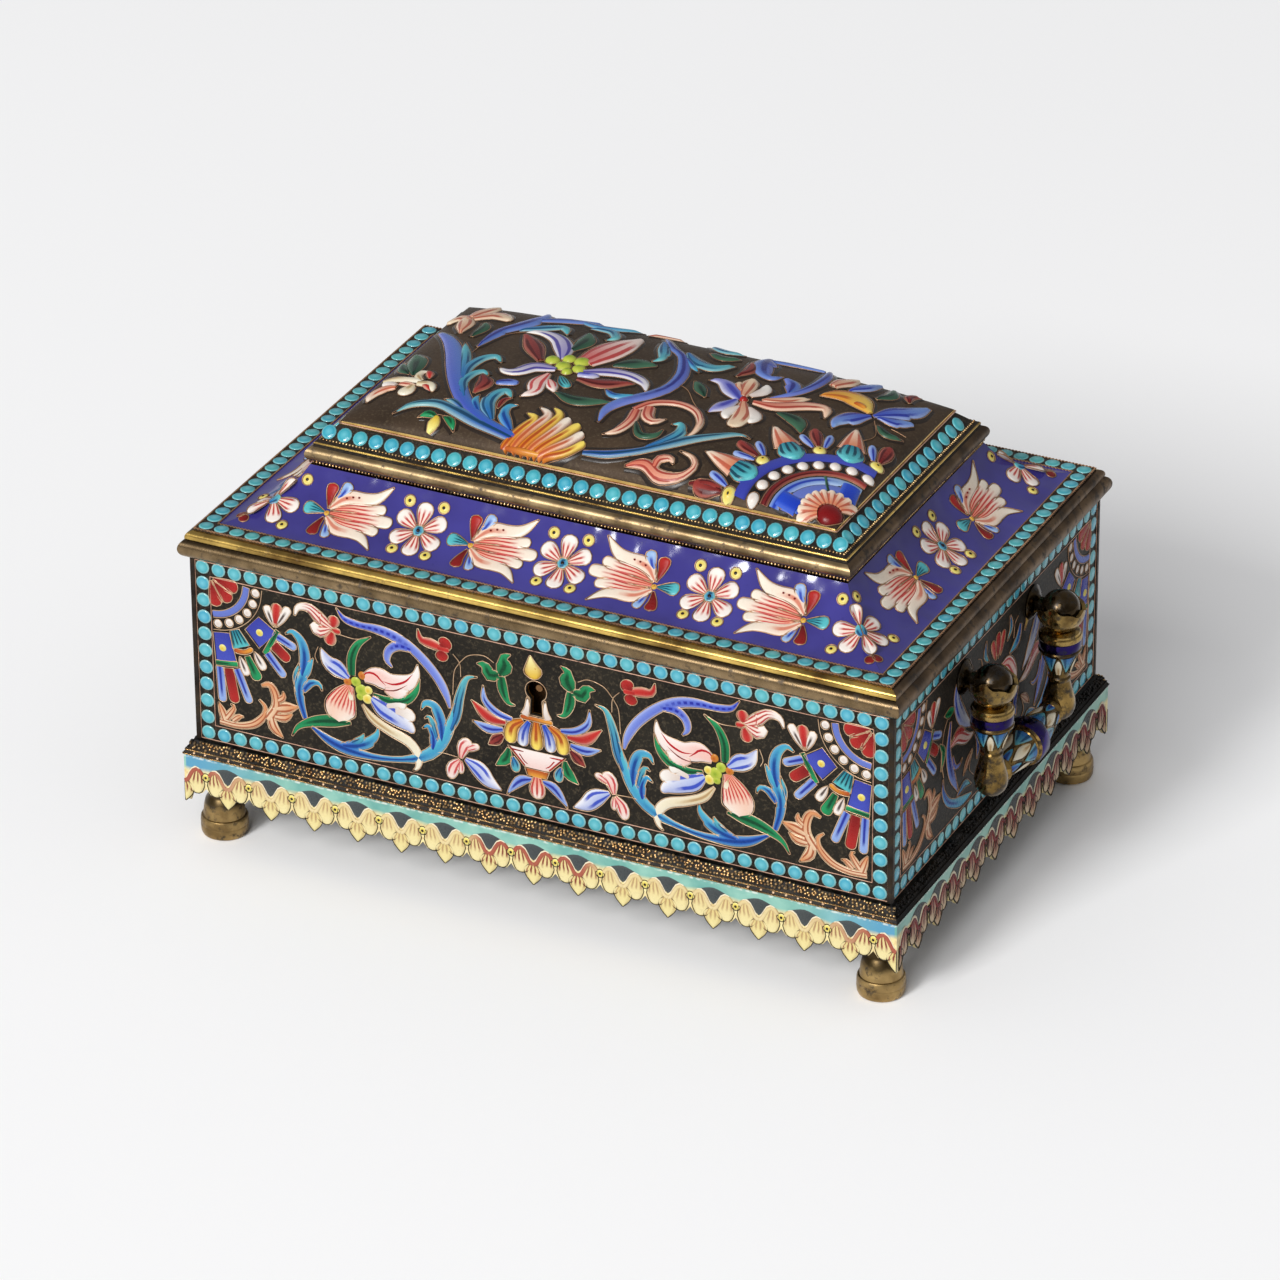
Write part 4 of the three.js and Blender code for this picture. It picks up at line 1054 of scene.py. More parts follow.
def dressWalls():
    frames = []
    for side in sides:
        long = side in longSides
        cells = Cells(wallSkin(side), "shadedWallEnamel" if long else "shadedSideEnamel", wallCells)
        frames += wallFrames(cells, halfRun(side))
        for sign in (1, -1):
            cells.move = flip(sign)
            cornerFan(cells, panel["frameIn"] - halfRun(side))
            cells.rows(frontVine if long else sideVine)
            cells.fronds(frontFronds if long else [])
            cells.lines(frontTendrils if long else sideTendrils)
            for name, u, v, radius in berries if long else []:
                cells.dot(name, u, v, radius, False, 1.5)
        cells.move = flip(1)
        if side == "front":
            cells.fence(curveThrough(keyholeRim))
        cells.rows(vase if long else sideMiddle)
        cells.enamel(side + "_wall_enamel", "casket", "enamel_wall")
        # painted shade: the side walls take the darker copper wire in place of the pale cell wire
        wires(side + "_wall_wires", cells.paths(), wallCells["wire"], "wire" if long else "copper", "casket",
              "antique_gilt")
        wallBeads(side)
    wires("wall_frame_wires", frames, panel["frameWire"], "frameWire", "casket", "antique_gilt")


dressWalls()
print("walls dressed")


# Mouldings: a profile of (offset, height) points swept along each side and mitred
flange = {"torus": (0.0, 72.0), "radius": 2.3, "bead": (-0.35, 74.6), "beadRadius": 1.4, "top": 75.9,
          "inner": -3.2, "gilt": 74.2, "ledge": -0.3}
step = {"torus": (-20.1, 89.95), "radius": 1.75, "line": (-20.35, 92.25), "lineRadius": 0.5,
        "bevel": ((-20.9, 92.9), (-24.1, 95.9)), "rope": (-19.35, 88.15), "topWire": 0.15}
plinth = {"foot": 21.3, "back": 0.05,
          "slope": [(2.6, 21.7), (2.2, 22.3), (1.6, 22.9), (1.2, 23.6), (0.8, 24.3)],
          "rows": ((1.62, 23.0), (1.3, 23.55), (1.0, 24.1)), "lines": ((2.25, 22.4), (2.65, 21.5)),
          "flecks": (2.4, 22.0)}
plinthGrain = {"pitch": 0.86, "radius": 0.36, "height": 0.3, "seed": 5, "segments": 6, "rings": 4,
               "jitter": 0.24}
plinthFleck = {"pitch": 2.9, "radius": 0.34, "height": 0.14, "seed": 9, "segments": 6, "rings": 4,
               "jitter": 0.12}
plinthTwist = {"strand": 0.11, "lay": 1.4}
stepGrain = {"pitch": 0.8, "radius": 0.32, "height": 0.3, "seed": 7, "segments": 7, "rings": 4}
mitreGap = 0.02


def mitred(name, side, profile, marks, finishNames, body, slotName):  # stands for the node of this name
    out, level = np.array(profile).T
    end = halfRun(side) + out - mitreGap
    points = np.vstack([place(side, sign * end, out, level) for sign in (-1, 1)])
    faces = skinFaces(2, len(profile))
    if np.sum(out * np.roll(level, -1) - np.roll(out, -1) * level) < 0:
        faces = flipped(faces)
    node = name + "_" + side
    made = meshObject(node + "_moulding", points, faces, finishNames, [*marks, 0, 0], 30)
    settle(made, body, slotName, node)


def flangeProfile():
    low = reach("lid_flange_front", 2, 0)
    shape = [(flange["inner"], low)] + arcPoints(*flange["torus"], flange["radius"], -70, 72, 16)
    shape += arcPoints(*flange["bead"], flange["beadRadius"], -15, 96, 11)
    shape.append((flange["inner"], flange["top"]))
    marks = [0 if level <= flange["gilt"] else (1 if out > flange["ledge"] else 2) for out, level in shape]
    return shape, marks


def stepProfile():
    low = reach("lid_step_front", 2, 0)
    (a, b), (c, d) = step["bevel"]
    shape = [(-22.2, low), (-20.6, low + 0.1)] + arcPoints(*step["torus"], step["radius"], -76, 76, 14)
    shape += arcPoints(*step["line"], step["lineRadius"], -40, 110, 7)
    shape += [(a, b), (c, d), (c - 1.0, d - 0.6), (-22.6, b - 1.0)]
    marks = [0 if level <= 91.6 else (1 if 92.2 <= level <= 92.6 else 2) for out, level in shape]
    return shape, marks


def mouldings():
    foot, back = plinth["foot"], plinth["back"]
    slope = [(back, foot), (plinth["slope"][0][0], foot), *plinth["slope"], (back, plinthTop)]
    for side in sides:
        long = side in longSides
        # painted shade: the short sides take the darker shaded gilt in place of the front and back gilts
        gilts = ["flange", "bright", "dark"] if long else ["shaded", "shaded", "dark"]
        mitred("lid_flange", side, *flangeProfile(), gilts, "lid", "antique_gilt")
        gilts = ["antique" if long else "shaded", "bright", "bandGround"]
        mitred("lid_step", side, *stepProfile(), gilts, "lid", "antique_gilt")
        mitred("plinth", side, slope, [0] * len(slope), ["plinth"], "casket", "dark_metal")
    rows, lines = [[straight(side, *spot, facing(side, 0.7, 0.7)) for spot in plinth[label] for side in sides]
                   for label in ("rows", "lines")]
    out, level = plinth["flecks"]
    flecks = [straight(side, out, level, facing(side, 0.7, 0.7), out) for side in longSides]
    beads("plinth_grains", rows[0::2], plinthGrain, "grain", "casket", "dark_metal")
    # painted shade: on the short sides the grains and edge wire take the dark plinth finish instead of gold
    beads("plinth_shaded_end_grains", rows[1::2], plinthGrain, "plinth", "casket", "dark_metal")
    beads("plinth_flecks", flecks, plinthFleck, "wire", "casket", "dark_metal")
    twists("plinth_edge_wires", lines[0::2], plinthTwist, "grain", "casket", "dark_metal")
    twists("plinth_shaded_end_wires", lines[1::2], plinthTwist, "plinth", "casket", "dark_metal")


mouldings()
strip = {"leg": 0.75, "thick": 0.4, "round": 0.3, "gap": 0.02, "foot": 0.1}


def cornerStrips():
    leg, thick, gap, bend = strip["leg"], strip["thick"], strip["gap"], strip["thick"] - strip["round"]
    shape = [(gap, gap), (gap, -leg), (thick, -leg)] + arcPoints(bend, bend, strip["round"], 0, 90, 5)
    shape += [(-leg, thick), (-leg, gap)]
    for name, (signX, signY) in boxCorners.items():
        points = [(signX * (halfX + a), signY * (halfY + b), z) for z in (plinthTop + strip["foot"], wallTop)
                  for a, b in shape]
        faces = skinFaces(2, len(shape))
        if signX * signY > 0:
            faces = flipped(faces)
        made = meshObject("corner_strip_" + name + "_edge", points, faces, ["dark"], None, 50)
        settle(made, "casket", "antique_gilt", "corner_strip_" + name)


cornerStrips()
print("mouldings done")


# Lid: hollow cobalt panels, bevel and domed top
cove = {"rim": -0.5, "level": 76.0, "radius": 21.202, "length": 23.114, "thick": 1.2, "motifs": 13.9,
        "beadRow": 2.05, "beadLift": 0.42, "twists": ((0.12, 0.5), (3.95, 0.2)),
        "edge": [(0, 0), (0, 0.45), (0.2, 0.55), (3.9, 0.2), (4.1, 0.12), (4.5, 0.02)]}
coveBead = {"pitch": 3.72, "radius": 1.72, "height": 0.36, "seed": 11}
coveTwist = {"strand": 0.14, "lay": 1.6}
coveCells = {"relief": 0.34, "wireLift": 0.1, "wire": 0.13}
bevelBead = {"pitch": 3.79, "radius": 1.74, "height": 0.42, "seed": 17}
dome = {"halfX": 59.0, "halfY": 30.8, "edge": 96.6, "rise": 7.6, "thick": 1.2, "seat": 95.8, "margin": 0.05,
        "countX": 72, "countY": 44}


def coveProfile(s, lift):  # offset from the wall face and height, at a run s up the hollow
    a = np.asarray(s) / cove["radius"]
    inner = cove["radius"] - lift
    return cove["rim"] - inner * np.sin(a), cove["level"] + cove["radius"] - inner * np.cos(a)


def coveSkin(side):
    return lambda u, s, lift: place(side, u, *coveProfile(s, lift))


def coveEnd(side, s, lift=0.0):  # where the mitre cuts a cove panel
    return halfRun(side) + coveProfile(s, lift)[0]


def coveLine(side, s, lift, trim=0.0):  # along a cove panel from mitre to mitre
    end = coveEnd(side, s) - trim
    return coveSkin(side)([-end, end], s, lift), False, upward


def domeHeight(x, y):
    bow = 1.0
    for value, half in ((x, dome["halfX"]), (y, dome["halfY"])):
        bow = bow * (1 - np.clip(np.abs(value / half), 0, 1) ** 3)
    return dome["edge"] + dome["rise"] * np.sqrt(np.clip(bow, 0, 1))


def domePoint(x, y, lift):
    farX, farY = dome["halfX"] - dome["margin"], dome["halfY"] - dome["margin"]
    x, y = np.clip(x, -farX, farX), np.clip(y, -farY, farY)
    tiny = 0.04
    slopeX = (domeHeight(x + tiny, y) - domeHeight(x - tiny, y)) / (2 * tiny)
    slopeY = (domeHeight(x, y + tiny) - domeHeight(x, y - tiny)) / (2 * tiny)
    size = np.sqrt(1 + slopeX ** 2 + slopeY ** 2)
    return np.stack([x - slopeX / size * lift, y - slopeY / size * lift, domeHeight(x, y) + lift / size], -1)


tulip = [
    ("flare", [(0.8, 1.2), (5, 2.2), (9.6, 2.6), (13.2, 3.6)], [0.3, 1.0, 1.35, 1.1], "pr"),
    ("flare", [(0.8, -0.8), (5, -1.5), (9.6, -1.5), (13.2, -2.2)], [0.3, 1.0, 1.35, 1.1], "pr"),
    ("flare", [(0.6, 0.2), (5, 0.3), (10, 0.6), (15.6, 0.8)], [0.4, 1.1, 1.5, 1.3], "pr"),
    ("tulip", [(0.2, 1.2), (3.2, 4.1), (7.6, 4.7), (10.6, 5.8), (13.6, 8.8)], [0.5, 1.7, 1.6, 1.1, 0.1]),
    ("tulip", [(0.2, -0.8), (3.4, -3.1), (7.8, -3.5), (10.4, -4.4), (13.2, -7)], [0.5, 1.6, 1.5, 1.0, 0.1]),
    ("red", [(0, 1.1), (-0.6, 4.3), (-0.5, 6.9)], [0.2, 0.9, 1.75], "pr"),
    ("darkRed", [(-0.3, -1.1), (-1.2, -3.8), (-1.3, -6.2)], [0.2, 0.9, 1.7], "pr"),
    ("drop", [(0.9, 2.4), (2.5, 5.6), (3.2, 7.7)], [0.2, 1.0, 1.5], "pr"),
    ("drop", [(0.6, -1.8), (1.6, -4.6), (2.2, -6.2)], [0.2, 0.8, 1.2], "pr"),
    ("shell", [(-0.6, 0.1), (-3.4, 0.4), (-5.8, 0.4)], [0.2, 1.2, 1.95], "pr"),
]
tulipSpecks = ((3.4, 4.2), (4.8, 4.7), (6.2, 4.9))
rosetteEyes = ((-4.1, 6.2), (4.1, 6.2), (-4.0, -5.6), (4.0, -5.6))
coveRow = {"rosettes": 34.6, "longTulips": (56.6, 21.8), "shortTulips": (14.8,), "drop": 0.6}


def coveRosette(cells, u, s):
    for angle in 90 + np.arange(6) * 60:
        cells.leaf("petal", ray(u, s, angle, (1.2, 4.0, 6.6)), [0.5, 1.7, 2.1], "pr")
    cells.dot("turquoise", u, s, 1.5, lift=1.4)
    cells.dot("dark", u, s, 0.5, False, 1.0, -0.25, 8)
    for du, ds in rosetteEyes:
        cells.ring(u + du, s + ds, 1.3)


def coveTulip(cells, u, s, heading):
    before = cells.move
    cells.move = lambda a, b: (u + heading * a, s + b)
    cells.rows(tulip)
    for a, b in tulipSpecks:
        cells.dot("darkRed", a, b, 0.26, False, 1.0, -0.35, 6)
    cells.dot("gold", 0, 0, 0.7, False, 1.5)
    cells.move = before


def coveCorner(cells, side, end):  # the half of a corner rosette that lies on this panel
    before = cells.move
    cells.move = flip(end)
    s0 = cove["motifs"]
    u0 = coveEnd(side, s0)
    width = [0.4, 1.5, 1.9]
    for sign in (1, -1):
        path = [(coveEnd(side, s) - 0.15, s) for s in s0 + sign * 0.8 * np.array([1.3, 3.8, 6.4])]
        cells.leaf("petal", path, (0.05, width) if sign < 0 else (width, 0.05), "pr")
    for angle in (188.5, 248.5):
        cells.leaf("petal", ray(u0, s0, angle, (1.3, 4.0, 6.4)), [0.7, 1.7, 1.9], "pr")
    path = [(coveEnd(side, s) - 0.1, s) for s in (s0 - 1.2, s0, s0 + 1.2)]
    cells.leaf("turquoise", path, (0.05, 1.5), "rr", True, 1.4)
    cells.ring(u0 - 6.2, s0 + 5.8, 1.25)
    cells.ring(u0 - 4.6, s0 - 6.0, 1.25)
    cells.leaf("darkRed", [(u0 + 3.4, s0 - 6.6), (u0 + 5.6, s0 - 6.4)], 1.1, "rr")
    cells.move = before


def coveSheet(side):
    rows = cove["edge"] + [(s, 0) for s in np.linspace(5.3, cove["length"], 13)]
    s, lift = np.array(rows + [(s, -cove["thick"]) for s, lift in rows[::-1]]).T
    stations = np.linspace(-1, 1, 41)
    end = coveEnd(side, s, lift) - mitreGap
    points = np.vstack([coveSkin(side)(share * end, s, lift) for share in stations])
    marks = [2, 2, 1] + [0] * (len(rows) - 4) + [3] * (len(s) - len(rows) + 1)
    made = meshObject("lid_cove_" + side + "_panel", points, skinFaces(len(stations), len(s)),
                      ["cobalt", "bandGround", "dark", "lining"], marks * (len(stations) - 1) + [3, 3], 40)
    settle(made, "lid", "cobalt_enamel", "lid_cove_" + side)


def covePanels():
    paths = []
    s0 = cove["motifs"]
    for side in sides:
        long = side in longSides
        coveSheet(side)
        cells = Cells(coveSkin(side), "painted", coveCells)
        coveRosette(cells, 0, s0)
        for sign in (1, -1):
            if long:
                coveRosette(cells, sign * coveRow["rosettes"], s0)
            for u in coveRow["longTulips" if long else "shortTulips"]:
                coveTulip(cells, sign * u, s0 - coveRow["drop"], -sign if long else sign)
            coveCorner(cells, side, sign)
        cells.enamel("lid_cove_" + side + "_enamel", "lid", "cobalt_enamel")
        paths += cells.paths()
        row = coveLine(side, cove["beadRow"], cove["beadLift"], 0 if long else coveBead["pitch"])
        beads("lid_cove_" + side + "_beads", [row], coveBead, "coveBead", "lid", "cobalt_enamel")
    wires("lid_cove_wires", paths, coveCells["wire"], "copper", "lid", "antique_gilt")
    rows = [coveLine(side, s, lift) for side in sides for s, lift in cove["twists"]]
    twists("lid_cove_twisted_wire", rows, coveTwist, "copper", "lid", "bright_gilt")


def bevelRow():
    (a, b), (c, d) = step["bevel"]
    tilt = np.array([d - b, a - c]) / math.hypot(d - b, a - c)
    stones, ropes, plain = [], [], []
    for side in sides:
        face = facing(side, *tilt)
        trim = 0.0 if side == "front" else bevelBead["pitch"]
        stones.append(straight(side, (a + c) / 2, (b + d) / 2, face, trim))
        ropes += [straight(side, *spot, face) for spot in ((a - 0.15, b + 0.2), step["rope"])]
        plain.append(straight(side, c + 0.05, d + 0.4, upward, 0.05))
    beads("lid_step_cabochons", stones, bevelBead, "cabochon", "lid", "lid_panel")
    beads("lid_step_grains", ropes, stepGrain, "grain", "lid", "bright_gilt")
    wires("lid_top_wire", plain, step["topWire"], "frameWire", "lid", "antique_gilt")


def domePanel():
    countX, countY = dome["countX"], dome["countY"]
    shareX, shareY = [np.sin(np.linspace(-np.pi / 2, np.pi / 2, count + 1)) for count in (countX, countY)]
    x, y = np.meshgrid(shareX * (dome["halfX"] - dome["margin"]), shareY * (dome["halfY"] - dome["margin"]),
                       indexing="ij")
    upper = domePoint(x, y, 0.0).reshape(-1, 3)
    lower = upper.copy()
    lower[:, 2] = np.maximum(dome["seat"], upper[:, 2] - dome["thick"])  # rests on the step
    wide, base = countY + 1, len(upper)
    faces, marks = [], []
    for i in range(countX):
        for j in range(countY):
            quad = [i * wide + j, (i + 1) * wide + j, (i + 1) * wide + j + 1, i * wide + j + 1]
            faces += [quad, [base + k for k in quad][::-1]]
            marks += [0, 1]
    edge = [i * wide for i in range(countX + 1)] + [countX * wide + j for j in range(1, wide)]
    edge += [i * wide + countY for i in range(countX - 1, -1, -1)] + [j for j in range(countY - 1, 0, -1)]
    faces += [[a, base + a, base + b, b] for a, b in zip(edge, edge[1:] + edge[:1])]
    marks += [1] * len(edge)
    made = meshObject("lid_top_panel", np.vstack([upper, lower]), faces, ["lid", "lining"], marks, 60)
    settle(made, "lid", "lid_panel", "lid_top")


covePanels()
bevelRow()
domePanel()
print("lid panels done")

topFronds = [  # the last two numbers count the lobes on the right and left edges
    ("stem", [(-18, -28), (-27, -25.4), (-34, -20.4), (-38.4, -14.6), (-42.6, -7.4), (-46.6, -0.4),
     (-51, 5.8), (-57, 11.6)], [0.8, 1.2, 1.7, 2.1, 2.3, 2.1, 1.5, 0.1]),
    ("turquoise", [(-37.8, -14), (-40.8, -7), (-43.6, -0.8), (-46.6, 4.9)], [0.4, 1.4, 1.3, 0.1]),
    ("turquoise", [(-37.6, -14), (-39.7, -7.8), (-38.8, -2.9), (-36, -1), (-33.7, -3.2)],
     [0.5, 1.5, 1.7, 1.2, 0.15], 0, 2),
    ("turquoise", [(-33.8, -20.6), (-37.6, -14.6), (-37.2, -10.4), (-35.2, -8.6), (-33.5, -9.9)],
     [0.5, 1.4, 1.6, 1.1, 0.15], 0, 2),
    ("turquoise", [(-25, -25.2), (-28.2, -20.8), (-28.3, -17), (-26.4, -15), (-24.3, -16.9)],
     [0.7, 1.7, 1.8, 1.3, 0.2], 0, 2),
    ("sky", [(-19.6, -26.8), (-23, -23.2), (-23.3, -20.5), (-21.5, -19.1)], [0.6, 1.3, 1.1, 0.2], 0, 2),
    ("sky", [(-28.6, -24), (-31.2, -20.8), (-31.5, -17.8)], [0.5, 1.1, 0.1]),
    ("plume", [(-18.4, -28.4), (-27, -26.5), (-33, -24.6), (-39, -23), (-44, -24.2), (-47.7, -27.7)],
     [0.8, 1.2, 1.6, 1.4, 1.1, 0.1], 4, 0),
    ("plume", [(-32.6, -23.6), (-35.6, -21.8), (-38.4, -21.2)], [0.5, 0.9, 0.1]),
    ("turquoise", [(-37.6, 13.2), (-33, 16.6), (-29.2, 18.4), (-26.8, 15.2)], [0.4, 1.5, 1.5, 0.2], 0, 2),
    ("violet", [(-42.6, 3), (-41.2, 11), (-38, 17), (-36.4, 23), (-37.4, 28)], [0.3, 1.6, 2.2, 1.9, 0.3], 3,
     0),
    ("violet", [(-36.6, 20), (-32, 23.6), (-27, 25.6), (-24, 28.4)], [0.3, 1.7, 1.6, 0.2]),
    ("turquoise", [(-24, 21.4), (-18.8, 21.4), (-16.4, 18), (-17.8, 15.8)], [0.4, 1.2, 1.3, 0.2], 0, 2),
    ("sky", [(-29.6, 26), (-24, 23.6), (-19, 24.4), (-14, 28)], [0.2, 1.2, 1.2, 0.2]),
    ("violet", [(-7.4, 25), (-3, 19), (0.6, 16), (3.4, 11.2), (5.2, 6), (5.2, 0), (3, -4.8), (-0.8, -9.6),
     (-2.8, -14), (-2.4, -19.2)], [0.4, 0.8, 1, 1.4, 1.6, 1.6, 1.7, 1.7, 1.3, 0.2]),
    ("sky", [(-7, -6.2), (-4, -8.4), (0.4, -7)], [0.2, 1.1, 0.6]),
    ("turquoise", [(-6.2, 21.4), (-3.2, 15.2), (-2.4, 12), (-3.8, 10)], [0.6, 1.6, 1.3, 0.2], 0, 3),
    ("turquoise", [(0.6, 18.4), (5, 14), (9.6, 12.9), (13.4, 16.4)], [0.3, 1.8, 1.9, 0.2], 2, 0),
    ("sky", [(2.6, 14.6), (5.2, 11.8), (7.8, 9.4)], [0.6, 0.8, 0.1]),
    ("plume", [(-1.6, -28.2), (4, -27.4), (9.6, -25.4), (14, -22.6), (18.4, -18.8), (23.2, -15.4),
     (28, -12.4), (30.6, -13)], [0.5, 0.9, 0.9, 1, 1.5, 1.2, 0.8, 0.1]),
    ("turquoise", [(10.6, -24.6), (14.4, -20.6), (15.9, -17), (14.8, -14), (12.6, -14.4)],
     [0.4, 1.2, 1.6, 1.2, 0.15], 3, 0),
    ("violet", [(17.2, 26), (18.4, 20.4), (20.4, 16), (23, 14.4), (24.6, 16.8)], [1.4, 2.8, 2.4, 1.2, 0.2],
     0, 3),
    ("violet", [(17.6, 24.6), (23, 27), (29.6, 27.4)], [0.8, 1.6, 0.6]),
    ("violet", [(30.4, 28.4), (32.4, 22), (32.2, 15.2), (30, 9.4), (26, 5)], [0.6, 1.2, 1.1, 0.8, 0.2]),
    ("violet", [(29.4, 8.8), (28.4, 13.4), (25.4, 16)], [0.3, 1.9, 0.4], 0, 2),
    ("blueLeaf", [(48.6, 11), (51.2, 15.4), (54, 19), (56, 24.6)], [0.6, 2.3, 2.2, 0.2], 2, 0),
    ("blueLeaf", [(49.4, 11), (53, 12.2), (56, 15)], [0.5, 1.8, 0.5], 2, 0),
    ("blueLeaf", [(48.2, 10.4), (45.6, 7.6), (43.4, 4), (43.4, 0.8)], [0.6, 2.5, 1.9, 0.1], 0, 2),
]
